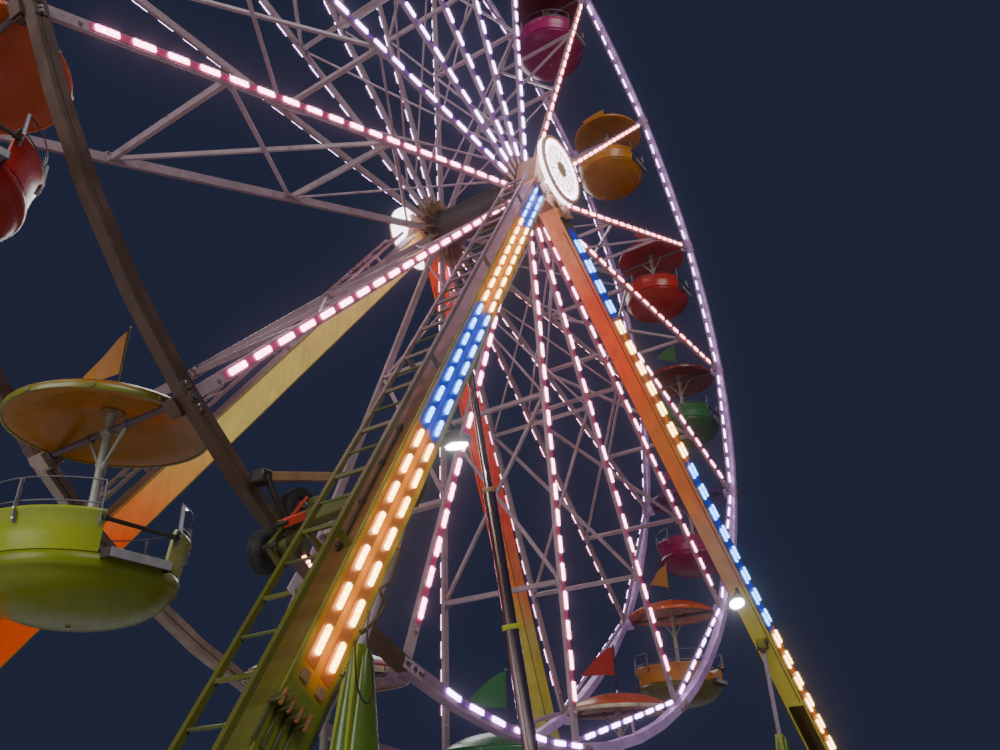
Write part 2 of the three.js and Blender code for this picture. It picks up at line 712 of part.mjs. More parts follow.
buildBays();
buildHub();
buildCabins();
buildLegs();
buildHeads();
buildMedallions();
buildLadders();
buildBase();
buildLift();
buildDrive();
buildDeck();

export default group;
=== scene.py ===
"""Dresses the solid ferris wheel with its finishes, lamps, tubs, canopies, fittings and stage."""

import math

import bmesh
import bpy
from bpy.props import FloatProperty, FloatVectorProperty, PointerProperty
from mathutils import Matrix, Vector


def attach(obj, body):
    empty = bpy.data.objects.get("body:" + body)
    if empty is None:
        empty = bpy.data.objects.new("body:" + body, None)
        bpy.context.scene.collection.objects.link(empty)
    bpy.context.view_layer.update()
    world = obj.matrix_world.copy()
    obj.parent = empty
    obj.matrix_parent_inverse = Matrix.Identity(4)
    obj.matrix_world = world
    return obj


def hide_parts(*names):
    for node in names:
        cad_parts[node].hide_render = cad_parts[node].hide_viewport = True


bl_info = {
    "name": "Ferris wheel dressing",
    "version": (1, 0, 0),
    "blender": (4, 5, 0),
    "location": "3D View > Sidebar > Ferris Wheel",
    "description": "Builds the visible ferris wheel round its fixed solid frame",
    "category": "Object",
}

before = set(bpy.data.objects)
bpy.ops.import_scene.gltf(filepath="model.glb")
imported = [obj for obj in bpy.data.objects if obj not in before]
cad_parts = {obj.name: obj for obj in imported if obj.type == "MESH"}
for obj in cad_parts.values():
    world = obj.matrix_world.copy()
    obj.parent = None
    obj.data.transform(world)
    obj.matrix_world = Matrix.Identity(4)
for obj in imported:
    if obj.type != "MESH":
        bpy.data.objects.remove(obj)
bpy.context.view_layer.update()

# Driving dimensions in metres, as in the solid model
SPOKES = 16
STEP = 2 * math.pi / SPOKES
REST_ANGLE = math.radians(2)
HUB = Vector((0, 0, 10.3))
NODE_RADIUS = 8.0
RIM_INNER = 7.93
RIM_OUTER = 8.05
RIM_FACE_OUT = 1.04
SPOKE_FACE_HUB = 0.843
SPOKE_LEAN = 0.108 / NODE_RADIUS
SPOKE_DEEP = 0.046
SPOKE_WIDE = 0.1
SPOKE_START = 0.34
CROSS_RADII = (3.5, 6.08)
LIGHT_BAR_RADIUS = 7.9
LIGHT_BAR_FACE = 0.951
BEARING_FACE = 0.8
FLANGE_FACE = 0.835
DRUM_RADIUS = 0.29
FLANGE_RADIUS = 0.34
SHAFT_END = 1.33
APEX_RISE = 0.1
LEG_ANGLE = math.radians(33.84)
LEG_SIN = math.sin(LEG_ANGLE)
LEG_COS = math.cos(LEG_ANGLE)
LEG_SPLAY = 0.136
LEG_APEX_Y = 1.032
LEG_HALF_WIDE = 0.172
LEG_HALF_DEEP = 0.145
LEG_WALL = 0.026
LADDER_INWARD = -0.352
LADDER_HALF = 0.165
MEDALLION_RADIUS = 0.55
MEDALLION_FACE = 1.48
MEDALLION_Z = HUB.z + 0.13
BEAM_TOP = 0.5
SIDE_Y = 2.0
CROSS_X = 6.64
STRUT = Vector((4.53, 1.97, 2.655))
STRUT_ALONG = 7.7
LIFT_ALONG = 5.66
LIFT_FOOT = Vector((-2.046, -2.0, 0.55))
DRIVE_ANGLE = math.radians(236.15)
DRIVE_ALONG = 8.0
TYRE_RADIUS = 0.178
TYRE_HALF = 0.06
TYRE_Y = -1.045
ARM_Y = -1.24
KNUCKLE = Vector((-4.817, -1.15, 3.979))
DECK_TOP = 0.64
AXLE_END = 0.7997

NEAR, FAR = -1, 1
LEFT, RIGHT = -1, 1
SIDES = {NEAR: "near", FAR: "far"}
HANDS = {LEFT: "left", RIGHT: "right"}

# Bays whose rim carries no lamps, with their rims darkened as painted shade, and the bay whose lamps sit on
# the rim itself
UNLIT_BAY_FINISHES = {9: "wheel_dark", 10: "wheel_beige"}
BOLTED_BAY = 4
RIM_LAMP_BAY = 11

CAMERA_PLACE = (-8.905, -6.027, 1.526)
CAMERA_RIGHT = (0.55765, -0.82961, -0.02817)
CAMERA_UP = (-0.37996, -0.28529, 0.87994)
CAMERA_BACK = (-0.73802, -0.47998, -0.47429)
CAMERA_LENS = 30.44

# Plastic colours of the tubs and canopies
SHADES = {
    "lime": (0.36, 0.42, 0.02),
    "amber": (0.72, 0.27, 0.01),
    "red": (0.60, 0.03, 0.015),
    "dark_red": (0.25, 0.01, 0.015),
    "magenta": (0.42, 0.01, 0.12),
    "orange": (0.75, 0.12, 0.015),
    "green": (0.03, 0.20, 0.05),
    "olive": (0.24, 0.22, 0.02),
    "crimson": (0.38, 0.01, 0.04),
    "purple": (0.18, 0.02, 0.22),
    "yellow": (0.70, 0.42, 0.02),
    "cream": (0.62, 0.52, 0.34),
    "dull_amber": (0.62, 0.25, 0.006),
}

# Tub wall, tub bowl, canopy and pennant of each cabin, by number
CABIN_SHADES = (
    ("green", "green", "dark_red", "green"),
    ("red", "red", "red", "red"),
    ("amber", "amber", "amber", "amber"),
    ("magenta", "magenta", "dark_red", "magenta"),
    ("yellow", "yellow", "yellow", "yellow"),
    ("orange", "orange", "orange", "orange"),
    ("green", "green", "green", "green"),
    ("amber", "amber", "amber", "amber"),
    ("purple", "purple", "purple", "purple"),
    ("red", "red", "orange", "red"),
    ("lime", "lime", "dull_amber", "amber"),
    ("crimson", "crimson", "crimson", "crimson"),
    ("green", "green", "green", "green"),
    ("red", "red", "orange", "red"),
    ("amber", "olive", "orange", "amber"),
    ("magenta", "magenta", "purple", "magenta"),
)


# Shapes

# Turns that lay local Z towards the near side, and out along X
ACROSS = Matrix.Rotation(math.pi / 2, 4, "X")
OUTWARD = Matrix.Rotation(math.pi / 2, 4, "Y")


def moved(*place):
    """A shift to a place, given as one point or as three numbers."""
    return Matrix.Translation(place if len(place) == 3 else place[0])


def out_of(side):
    """A turn that lays local Z straight out of one side of the ride."""
    return Matrix.Rotation(-side * math.pi / 2, 4, "X")


def on_circle(radius, angle, y=0.0):
    """A point of a circle that stands in the wheel's plane."""
    return Vector((radius * math.cos(angle), y, radius * math.sin(angle)))


def ring_of(count, first=0.0):
    """Angles of things set evenly round a circle."""
    return [first + 2 * math.pi * i / count for i in range(count)]


def basis(along, hint):
    """A turn whose local Z runs along the first direction."""
    along = Vector(along).normalized()
    side = Vector(hint).cross(along).normalized()
    return Matrix((side, along.cross(side), along)).transposed().to_4x4()


def facing(place, along, out):
    """A place whose local X runs along a bar and whose local Z looks out of its face."""
    along = Vector(along).normalized()
    side = Vector(out).cross(along).normalized()
    turn = Matrix((along, side, along.cross(side))).transposed().to_4x4()
    return moved(place) @ turn


def soften(bm, edges, soft):
    bmesh.ops.bevel(bm, geom=list(edges), offset=soft, segments=1, profile=0.5, affect="EDGES", material=-1)


def settle(bm, verts, index, soft):
    """Gives new faces their material and takes their sharp edges off."""
    faces = {f for v in verts for f in v.link_faces}
    for face in faces:
        face.material_index = index
    if soft:
        soften(bm, {e for f in faces for e in f.edges}, soft)


def block(bm, low, high, index=0, soft=0.0):
    low, high = Vector(low), Vector(high)
    size = high - low
    place = moved((low + high) / 2) @ Matrix.Diagonal((*size, 1))
    settle(bm, bmesh.ops.create_cube(bm, size=1, matrix=place)["verts"], index, soft)


def side_block(bm, side, x_ends, y_ends, z_ends, index=0, soft=0.0):
    """A block on one side of the ride, whose ends across it are measured outwards from the middle."""
    low, high = sorted(side * y for y in y_ends)
    block(bm, (x_ends[0], low, z_ends[0]), (x_ends[1], high, z_ends[1]), index, soft)


def bar(bm, start, end, wide, deep, hint, index=0, soft=0.0):
    start, end = Vector(start), Vector(end)
    size = Matrix.Diagonal((wide, deep, (end - start).length, 1))
    place = moved((start + end) / 2) @ basis(end - start, hint) @ size
    settle(bm, bmesh.ops.create_cube(bm, size=1, matrix=place)["verts"], index, soft)


def rod(bm, start, end, radius, sides=12, index=0, soft=0.0, far_radius=None):
    start, end = Vector(start), Vector(end)
    along = end - start
    hint = (0, 0, 1) if abs(along.normalized().z) < 0.9 else (1, 0, 0)
    place = moved((start + end) / 2) @ basis(along, hint)
    made = bmesh.ops.create_cone(
        bm, cap_ends=True, cap_tris=False, segments=sides, radius1=radius,
        radius2=radius if far_radius is None else far_radius, depth=along.length, matrix=place)
    settle(bm, made["verts"], index, 0)
    if soft:
        edges = {e for v in made["verts"] for e in v.link_edges}
        soften(bm, {e for e in edges if any(len(f.verts) > 4 for f in e.link_faces)}, soft)


def ready_mesh(bm, name):
    """Turns a work mesh of closed shapes into a mesh, with its faces as they are."""
    mesh = bpy.data.meshes.new(name)
    bm.to_mesh(mesh)
    bm.free()
    return mesh


def as_mesh(bm, name):
    """Closes a work mesh into a template that can be stamped."""
    bmesh.ops.remove_doubles(bm, verts=bm.verts, dist=1e-5)
    bmesh.ops.recalc_face_normals(bm, faces=bm.faces)
    return ready_mesh(bm, name)


def turned(profile, steps, start=0.0, sweep=2 * math.pi):
    """Turns a closed outline of (radius, height) pairs about Z, all round or through part of a turn."""
    bm = bmesh.new()
    verts = [bm.verts.new((r * math.cos(start), r * math.sin(start), z)) for r, z in profile]
    full = sweep >= 2 * math.pi - 1e-6
    if full:
        edges = [bm.edges.new((verts[i - 1], verts[i])) for i in range(len(verts))
                 if not (profile[i - 1][0] < 1e-6 and profile[i][0] < 1e-6)]
        geom = verts + edges
    else:
        geom = [bm.faces.new(verts)]
    bmesh.ops.spin(bm, geom=geom, cent=(0, 0, 0), axis=(0, 0, 1), dvec=(0, 0, 0), angle=sweep,
                   steps=steps, use_merge=full, use_duplicate=False)
    return as_mesh(bm, "turned")


def hoop(radius, tube, steps, start=0.0, sweep=2 * math.pi, sides=8):
    """A round tube bent about Z, closed all round or with capped ends."""
    bm = bmesh.new()
    place = Matrix.Rotation(start, 4, "Z") @ moved(radius, 0, 0) @ ACROSS
    full = sweep >= 2 * math.pi - 1e-6
    bmesh.ops.create_circle(bm, cap_ends=not full, segments=sides, radius=tube, matrix=place)
    geom = bm.verts[:] + bm.edges[:] + bm.faces[:]
    bmesh.ops.spin(bm, geom=geom, cent=(0, 0, 0), axis=(0, 0, 1), dvec=(0, 0, 0), angle=sweep,
                   steps=steps, use_merge=full, use_duplicate=False)
    return as_mesh(bm, "hoop")


def stamp(bm, template, place, index=0):
    """Adds a copy of a template mesh at a place, all in one finish unless the index is None."""
    mesh = template.copy()
    mesh.transform(place)
    if index is not None:
        mesh.polygons.foreach_set("material_index", [index] * len(mesh.polygons))
    bm.from_mesh(mesh)
    bpy.data.meshes.remove(mesh)


def lathe(bm, profile, steps, place=Matrix(), index=0):
    """Adds a closed outline turned all round about a place's local Z."""
    stamp(bm, turned(profile, steps), place, index)


def bolt_template(radius, high):
    """A hexagon head on a washer, standing on local Z."""
    bm = bmesh.new()
    rod(bm, (0, 0, 0), (0, 0, high * 0.25), radius * 1.35, 10)
    rod(bm, (0, 0, high * 0.2), (0, 0, high), radius, 6)
    return as_mesh(bm, "bolt")


def lamp_template(length, wide, high):
    """One lamp strip lens, lying along local X with its back at zero."""
    bm = bmesh.new()
    block(bm, (-length / 2, -wide / 2, 0), (length / 2, wide / 2, high), soft=min(wide, high) * 0.3)
    return as_mesh(bm, "lamp")


def link_piece(name, mesh, finish_names, slot, body="structure", stands_for=()):
    """Makes a finished object at the origin that rides on a body."""
    mesh.name = name
    for finish in finish_names:
        mesh.materials.append(finish_of(finish))
    mesh.shade_smooth()
    mesh.set_sharp_from_angle(angle=math.radians(38))
    piece = bpy.data.objects.new(name, mesh)
    bpy.context.scene.collection.objects.link(piece)
    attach(piece, body)
    if stands_for:
        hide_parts(*stands_for)
    return piece


def make_piece(name, bm, *placing):
    return link_piece(name, ready_mesh(bm, name), *placing)


def placed_copy(name, template, place, *placing):
    mesh = template.copy()
    mesh.transform(place)
    return link_piece(name, mesh, *placing)


# Places on the wheel and the legs

def bay_angle(k):
    return REST_ANGLE + k * STEP


def bay_place(k):
    return moved(HUB) @ Matrix.Rotation(-bay_angle(k), 4, "Y")


def axle_point(k):
    return HUB + on_circle(NODE_RADIUS, bay_angle(k))


def spoke_point(side, radius, out=0.0, across=0.0):
    """A point on the outer face of a spoke that lies along X, out of that face and across it."""
    return Vector((radius, side * (SPOKE_FACE_HUB + SPOKE_LEAN * radius + out), across))


def spoke_lamp_place(side, radius, out=0.0):
    along = Vector((1, side * SPOKE_LEAN, 0))
    return facing(spoke_point(side, radius, out), along, (-side * SPOKE_LEAN, side, 0))


def leg_point(side, hand, along, inward=0.0, out=0.0):
    return Vector((
        hand * (LEG_SIN * along - LEG_COS * inward),
        side * (LEG_APEX_Y + LEG_SPLAY * along + out),
        HUB.z + APEX_RISE - LEG_COS * along - LEG_SIN * inward))


def leg_line(side, hand, start, end, inward=0.0, out=0.0):
    """Both ends of a line down a leg."""
    return [leg_point(side, hand, at, inward, out) for at in (start, end)]


def legs():
    return [(side, hand) for side in (NEAR, FAR) for hand in (LEFT, RIGHT)]


def leg_axes(side, hand):
    """Directions down a leg, to its inner side and out of its outer face."""
    along = Vector((hand * LEG_SIN, side * LEG_SPLAY, -LEG_COS)).normalized()
    inner = Vector((-hand * LEG_COS, 0, -LEG_SIN))
    out = along.cross(inner).normalized()
    return along, inner, out if out.y * side > 0 else -out


def settings():
    return bpy.context.scene.ferris_wheel


# Finishes

class Finish:
    """A material under construction, with short calls that add and join its nodes."""

    def __init__(self, name, rough=0.5, metal=0.0, source="Object"):
        self.material = bpy.data.materials.new(name)
        self.material.use_nodes = True
        self.tree = self.material.node_tree
        self.shader = self.tree.nodes["Principled BSDF"]
        self.shader.inputs["Metallic"].default_value = metal
        self.shader.inputs["Roughness"].default_value = rough
        self.where = self.tree.nodes.new("ShaderNodeTexCoord").outputs[source]

    def join(self, value, socket):
        if isinstance(value, bpy.types.NodeSocket):
            self.tree.links.new(value, socket)
        elif hasattr(value, "__len__") and len(value) == 3 and len(socket.default_value) == 4:
            socket.default_value = (*value, 1)
        else:
            socket.default_value = value

    def node(self, kind, values, **choices):
        """Adds a node, with its choices and what goes into its sockets."""
        node = self.tree.nodes.new(f"ShaderNode{kind}")
        for name, value in choices.items():
            setattr(node, name, value)
        for socket, value in values.items():
            self.join(value, node.inputs[socket])
        return node

    def mapped(self, scale):
        return self.node("Mapping", {"Vector": self.where, "Scale": scale}).outputs[0]

    def noise(self, scale, detail=4.0, rough=0.6, stretch=(1, 1, 1)):
        values = {"Vector": self.mapped(stretch), "Scale": scale, "Detail": detail, "Roughness": rough}
        return self.node("TexNoise", values).outputs["Fac"]

    def cells(self, scale, stretch=(1, 1, 1)):
        return self.node("TexVoronoi", {"Vector": self.mapped(stretch), "Scale": scale}).outputs["Distance"]

    def wave(self, scale, direction):
        values = {"Vector": self.mapped((1, 1, 1)), "Scale": scale}
        return self.node("TexWave", values, bands_direction=direction).outputs["Fac"]

    def ramp(self, fac, low, high, start=0.0, end=1.0):
        """Maps a range of a value onto another, held at both ends."""
        values = {"Value": fac, "From Min": low, "From Max": high, "To Min": start, "To Max": end}
        return self.node("MapRange", values).outputs["Result"]

    def mix(self, fac, first, second):
        return self.node("Mix", {0: fac, 6: first, 7: second}, data_type="RGBA").outputs[2]

    def sum(self, operation, first, second):
        return self.node("Math", {0: first, 1: second}, operation=operation).outputs[0]

    def times(self, first, second):
        return self.sum("MULTIPLY", first, second)

    def split(self, vector):
        return self.node("SeparateXYZ", {0: vector}).outputs

    def scaled(self, colour, factor):
        return self.node("VectorMath", {0: colour, "Scale": factor}, operation="SCALE").outputs[0]

    def along(self, way, start):
        """Distance of the surface from a start, along a direction."""
        node = self.node("VectorMath", {0: self.where, 1: way}, operation="DOT_PRODUCT")
        return self.sum("SUBTRACT", node.outputs["Value"], start.dot(way))

    def bump(self, height, depth, strength=1.0):
        node = self.node("Bump", {"Strength": strength, "Distance": depth, "Height": height})
        self.join(node.outputs[0], self.shader.inputs["Normal"])

    def colour(self, value):
        self.join(value, self.shader.inputs["Base Color"])

    def rough(self, value):
        self.join(value, self.shader.inputs["Roughness"])

    def glow(self, value, strength):
        self.join(value, self.shader.inputs["Emission Color"])
        self.shader.inputs["Emission Strength"].default_value = strength


def shade(colour, factor):
    return tuple(min(1.0, c * factor) for c in colour)


RUST = (0.10, 0.035, 0.015)
GRIME = (0.06, 0.045, 0.03)
# Spoke paint: pale paint tinted pink-violet as painted lamp light and darkened as painted shade
SPOKE_LAMP_TINTED_PAINT = (0.42, 0.30, 0.33)
RIM_GROOVE = 7.995


def weathered(finish, colour, wear=0.3, grime=0.35):
    """Paint colour with cloudy fading, dirt that runs down and small rust chips."""
    body = colour
    if not isinstance(colour, bpy.types.NodeSocket):
        cloud = finish.ramp(finish.noise(2.2, 5), 0.3, 0.7)
        body = finish.mix(cloud, shade(colour, 0.72), shade(colour, 1.18))
    streak = finish.noise(5.0, 6, 0.65, (1.6, 1.6, 0.25))
    dirty = finish.mix(finish.ramp(streak, 0.45, 0.8, 0.0, grime), body, GRIME)
    chips = finish.ramp(finish.noise(26.0, 9, 0.7), 0.72 - wear * 0.25, 0.76 - wear * 0.25)
    finish.colour(finish.mix(chips, dirty, RUST))
    return chips, streak


def painted(name, colour, rough=0.42, wear=0.3, grime=0.35):
    finish = Finish(name)
    chips, streak = weathered(finish, colour, wear, grime)
    grain = finish.noise(90.0, 3)
    finish.rough(finish.sum("MAXIMUM", finish.ramp(streak, 0.3, 0.8, rough - 0.1, rough + 0.2), chips))
    finish.bump(finish.sum("SUBTRACT", grain, finish.times(chips, 0.8)), 0.0012, 0.35)
    return finish.material


def bare_metal(name, colour, rough=0.3, brushed=(1, 1, 8)):
    finish = Finish(name, metal=1.0)
    scratch = finish.noise(40.0, 6, 0.7, brushed)
    stain = finish.noise(3.0, 5)
    tone = finish.mix(finish.ramp(stain, 0.35, 0.7), shade(colour, 0.75), shade(colour, 1.1))
    finish.colour(finish.mix(finish.ramp(scratch, 0.5, 0.8, 0.0, 0.4), tone, shade(colour, 0.5)))
    finish.rough(finish.ramp(scratch, 0.3, 0.8, rough * 0.7, rough * 1.6))
    finish.bump(scratch, 0.0006, 0.25)
    return finish.material


def moulded(name, colour, dirt=0.3, coat=0.12, specular=0.5):
    """Glossy moulded plastic with faint ripples, scuffs and dust."""
    finish = Finish(name)
    cloud = finish.noise(1.6, 4)
    body = finish.mix(finish.ramp(cloud, 0.3, 0.7), shade(colour, 0.8), shade(colour, 1.12))
    scuff = finish.noise(14.0, 8, 0.7, (1, 1, 3))
    dusty = finish.mix(finish.ramp(scuff, 0.5, 0.8, 0.0, dirt), body, shade(colour, 0.4))
    stain = finish.ramp(finish.noise(3.0, 8, 0.75), 0.56, 0.72, 0.0, dirt * 1.6)
    finish.colour(finish.mix(stain, dusty, GRIME))
    finish.rough(finish.ramp(scuff, 0.35, 0.8, 0.2, 0.5))
    finish.bump(finish.sum("ADD", finish.noise(5.0, 2), finish.times(scuff, 0.1)), 0.003, 0.15)
    finish.shader.inputs["Specular IOR Level"].default_value = specular
    finish.shader.inputs["Coat Weight"].default_value = coat
    finish.shader.inputs["Coat Roughness"].default_value = 0.15
    return finish.material


def woven(name, colour):
    """Pennant cloth: a plain weave that follows the piece's own map."""
    finish = Finish(name, 0.85, source="UV")
    warp = finish.wave(120.0, "X")
    weft = finish.wave(120.0, "Y")
    weave = finish.times(warp, weft)
    faded = finish.mix(finish.ramp(finish.noise(3.0, 4), 0.35, 0.7), shade(colour, 0.75), shade(colour, 1.2))
    finish.colour(finish.mix(finish.ramp(weave, 0.2, 0.9, 0.0, 0.35), shade(colour, 0.6), faded))
    finish.rough(finish.ramp(weave, 0, 1, 0.75, 0.95))
    finish.bump(weave, 0.0006, 0.5)
    finish.shader.inputs["Sheen Weight"].default_value = 0.3
    finish.shader.inputs["Transmission Weight"].default_value = 0.0
    return finish.material


def lamp(name, core, tint, share):
    """Lamp lens: bright points behind a tinted cover, at a share of the set brightness."""
    strength = settings().lamps.strength * share
    finish = Finish(name, 0.25)
    points = finish.cells(38.0)
    finish.colour(finish.mix(finish.ramp(points, 0.2, 0.6), shade(core, 0.9), tint))
    finish.glow(finish.mix(finish.ramp(points, 0.25, 0.75), core, tint), strength)
    finish.rough(finish.ramp(points, 0.1, 0.6, 0.15, 0.4))
    return finish.material


def channel(name, tint, share):
    """Pale metal strip backing the lamps, with painted lamp light: its colour tinted by the lamps and a glow
    in their colour.
    """
    strength = settings().lamps.spill * share
    finish = Finish(name, 0.4, metal=0.4)
    wear = finish.noise(30.0, 5)
    pale = tuple(0.05 + 0.4 * c for c in tint)
    finish.colour(finish.mix(finish.ramp(wear, 0.35, 0.7), shade(pale, 0.6), pale))
    finish.glow(finish.mix(finish.ramp(wear, 0.3, 0.75), tint, shade(tint, 0.4)), strength)
    finish.rough(finish.ramp(wear, 0.3, 0.7, 0.3, 0.55))
    return finish.material


def wheel_paint(name, rim_colour, rim_wear, far_colour=None, spill=0.0):
    """Pale spokes, tinted pink-violet as painted lamp light, and a rim with its own finish, which may be
    another on the far side; with spill, the rim gets a violet glow that is painted lamp light.
    """
    finish = Finish(name)
    x, y, z = finish.split(finish.where)
    z_hub = finish.sum("SUBTRACT", z, HUB.z)
    square = finish.sum("ADD", finish.times(x, x), finish.times(z_hub, z_hub))
    radius = finish.sum("SQRT", square, 0.0)
    at_rim = finish.ramp(radius, RIM_INNER - 0.03, RIM_INNER - 0.02)
    blot = finish.noise(1.8, 7, 0.65)
    spoke = finish.mix(finish.ramp(blot, 0.35, 0.75), SPOKE_LAMP_TINTED_PAINT, shade(SPOKE_LAMP_TINTED_PAINT, 0.68))
    worn = finish.ramp(blot, 0.35, 0.7)
    rim = finish.mix(worn, rim_colour, shade(rim_colour, 0.5))
    if far_colour:
        far_rim = finish.mix(worn, far_colour, shade(far_colour, 0.5))
        rim = finish.mix(finish.ramp(y, -0.1, 0.1), rim, far_rim)
    body = finish.mix(at_rim, spoke, rim)
    streak = finish.noise(4.0, 8, 0.7)
    dirt = finish.ramp(streak, 0.5, 0.8, 0.0, 0.35 + 0.5 * rim_wear)
    dirty = finish.mix(dirt, body, (0.13, 0.06, 0.04))
    groove = finish.sum("ABSOLUTE", finish.sum("SUBTRACT", radius, RIM_GROOVE), 0.0)
    inside = finish.ramp(groove, 0.006, 0.010, rim_wear, 0.0)
    spots = finish.ramp(finish.noise(12.0, 9, 0.7), 0.70 - rim_wear * 0.08, 0.76)
    chips = finish.sum("MAXIMUM", spots, inside)
    # A violet glow on the rim: painted lamp light
    if spill:
        lit = finish.mix(finish.ramp(streak, 0.3, 0.8), (0.64, 0.33, 0.78), (0.26, 0.10, 0.38))
        finish.glow(finish.mix(at_rim, (0, 0, 0), lit), spill)
    finish.colour(finish.mix(chips, dirty, (0.05, 0.022, 0.012)))
    dull = finish.ramp(streak, 0.3, 0.8, 0.28, 0.6)
    finish.rough(finish.sum("MAXIMUM", dull, finish.times(chips, 0.8)))
    finish.bump(finish.sum("SUBTRACT", finish.noise(80.0, 3), chips), 0.0015, 0.35)
    return finish.material


def lamp_light(finish, side, hand):
    """Where painted lamp light from the lamp rows falls on a leg's outer face, and in what colour."""
    along, inner, out = leg_axes(side, hand)
    top = leg_point(side, hand, 0)
    bands = LEG_LAMP_BANDS[hand]
    reach = finish.along(along, top)
    tone = LAMP_LIGHT[bands[0][0]]
    for (_tint, end), (tint, _end) in zip(bands, bands[1:]):
        tone = finish.mix(finish.ramp(reach, end - 0.04, end + 0.04), tone, LAMP_LIGHT[tint])
    across = finish.sum("ABSOLUTE", finish.along(inner, top), 0.0)
    share = finish.ramp(across, 0.06, 0.165, 1.0, 0.0)
    for limit in (
        finish.ramp(finish.along(out, top), LEG_HALF_DEEP - 0.009, LEG_HALF_DEEP - 0.004),
        finish.ramp(reach, LEG_LAMP_START[hand] - 0.15, LEG_LAMP_START[hand]),
        finish.ramp(reach, bands[-1][1] - 0.05, bands[-1][1] + 0.2, 1.0, 0.0),
    ):
        share = finish.times(share, limit)
    return share, tone


def lit_leg_paint(name, colours, heights, lamps=None, lift=0.0):
    """Leg paint with painted lamp light: it fades from colour to colour as it rises, the lamp rows' light is
    painted on the outer face, and lift adds a glow of the paint's own colour.
    """
    finish = Finish(name)
    uneven = finish.times(finish.noise(1.2, 3), 0.9)
    height = finish.sum("ADD", finish.split(finish.where)[2], uneven)
    cloud = finish.ramp(finish.noise(2.0, 5), 0.3, 0.7, 0.78, 1.12)
    body = colours[0]
    for colour, (low, high) in zip(colours[1:], heights):
        body = finish.mix(finish.ramp(height, low, high), body, colour)
    # Glow of the paint's own colour: painted lamp light
    light = finish.scaled(body, lift)
    if lamps:
        share, tone = lamp_light(finish, *lamps)
        body = finish.mix(finish.times(share, 0.85), body, tone)
        light = finish.mix(share, light, tone)
    finish.glow(light, LEG_FACE_GLOW)
    chips, streak = weathered(finish, finish.scaled(body, cloud), 0.12, 0.4)
    dull = finish.ramp(streak, 0.3, 0.8, 0.3, 0.55)
    finish.rough(finish.sum("MAXIMUM", dull, finish.times(chips, 0.85)))
    finish.bump(finish.sum("SUBTRACT", finish.noise(70.0, 3), chips), 0.0012, 0.35)
    return finish.material


def rubber(name, colour=(0.012, 0.011, 0.012)):
    finish = Finish(name, 0.75)
    dust = finish.noise(9.0, 7)
    finish.colour(finish.mix(finish.ramp(dust, 0.45, 0.8, 0.0, 0.6), colour, (0.09, 0.07, 0.06)))
    finish.rough(finish.ramp(dust, 0.3, 0.8, 0.6, 0.9))
    finish.bump(finish.noise(120.0, 4), 0.0008, 0.5)
    return finish.material


def clear_plastic(name):
    finish = Finish(name, 0.1)
    scratch = finish.noise(35.0, 7, 0.7, (1, 1, 5))
    finish.colour(finish.mix(finish.ramp(scratch, 0.4, 0.8), (0.93, 0.95, 0.97), (0.80, 0.80, 0.84)))
    finish.rough(finish.ramp(scratch, 0.4, 0.8, 0.03, 0.2))
    finish.shader.inputs["Transmission Weight"].default_value = 1.0
    finish.shader.inputs["IOR"].default_value = 1.005
    return finish.material


def tread_plate(name):
    """Raised-pattern aluminium deck."""
    finish = Finish(name, metal=0.9)
    one = finish.cells(18.0, (1.0, 2.6, 1.0))
    raised = finish.ramp(one, 0.16, 0.28, 1.0, 0.0)
    dirt = finish.noise(4.0, 7)
    tone = finish.mix(finish.ramp(dirt, 0.35, 0.75), (0.46, 0.46, 0.45), (0.17, 0.15, 0.13))
    finish.colour(finish.mix(raised, tone, (0.60, 0.60, 0.58)))
    finish.rough(finish.ramp(dirt, 0.3, 0.8, 0.3, 0.65))
    finish.bump(raised, 0.003, 0.6)
    return finish.material


def floor_finish(name, colour):
    finish = Finish(name, 0.7)
    cloud = finish.noise(0.8, 6)
    finish.colour(finish.mix(finish.ramp(cloud, 0.3, 0.7), shade(colour, 0.96), shade(colour, 1.03)))
    finish.bump(finish.noise(30.0, 4), 0.001, 0.15)
    return finish.material


# Lamp colours down the leg: colour and where it ends, as distances down the leg
LEG_LAMP_BANDS = {
    LEFT: (("blue", 2.3), ("warm", 5.05), ("blue", 7.35), ("warm", 9.80)),
    RIGHT: (("blue", 2.65), ("warm", 5.05), ("blue", 7.8), ("warm", 10.6)),
}
LEG_LAMP_START = {LEFT: 0.72, RIGHT: 1.0}
LEG_ROW_GAP = 0.146
# Colours and glow of the lamp rows' light painted on the legs
LAMP_LIGHT = {"blue": (0.0, 0.018, 0.60), "warm": (1.0, 0.26, 0.004)}
LEG_FACE_GLOW = 0.32

# Finishes made so far, by name
FINISHES = {}

LIME = (0.27, 0.31, 0.015)
OLIVE = (0.20, 0.19, 0.02)
PALE_YELLOW = (0.66, 0.56, 0.14)
YELLOW_LIME = (0.46, 0.40, 0.04)
# Leg colours under the coloured lamps: painted lamp light
AMBER_LIT = (0.55, 0.33, 0.02)
ORANGE_LIT = (0.78, 0.17, 0.025)
TAN_LIT = (0.46, 0.25, 0.11)
BROWN_LIT = (0.62, 0.17, 0.012)
RED_LIT = (0.78, 0.055, 0.008)
FLAME_LIT = (0.84, 0.09, 0.003)
APRICOT_LIT = (0.80, 0.33, 0.11)
DARK_OLIVE = (0.085, 0.09, 0.015)

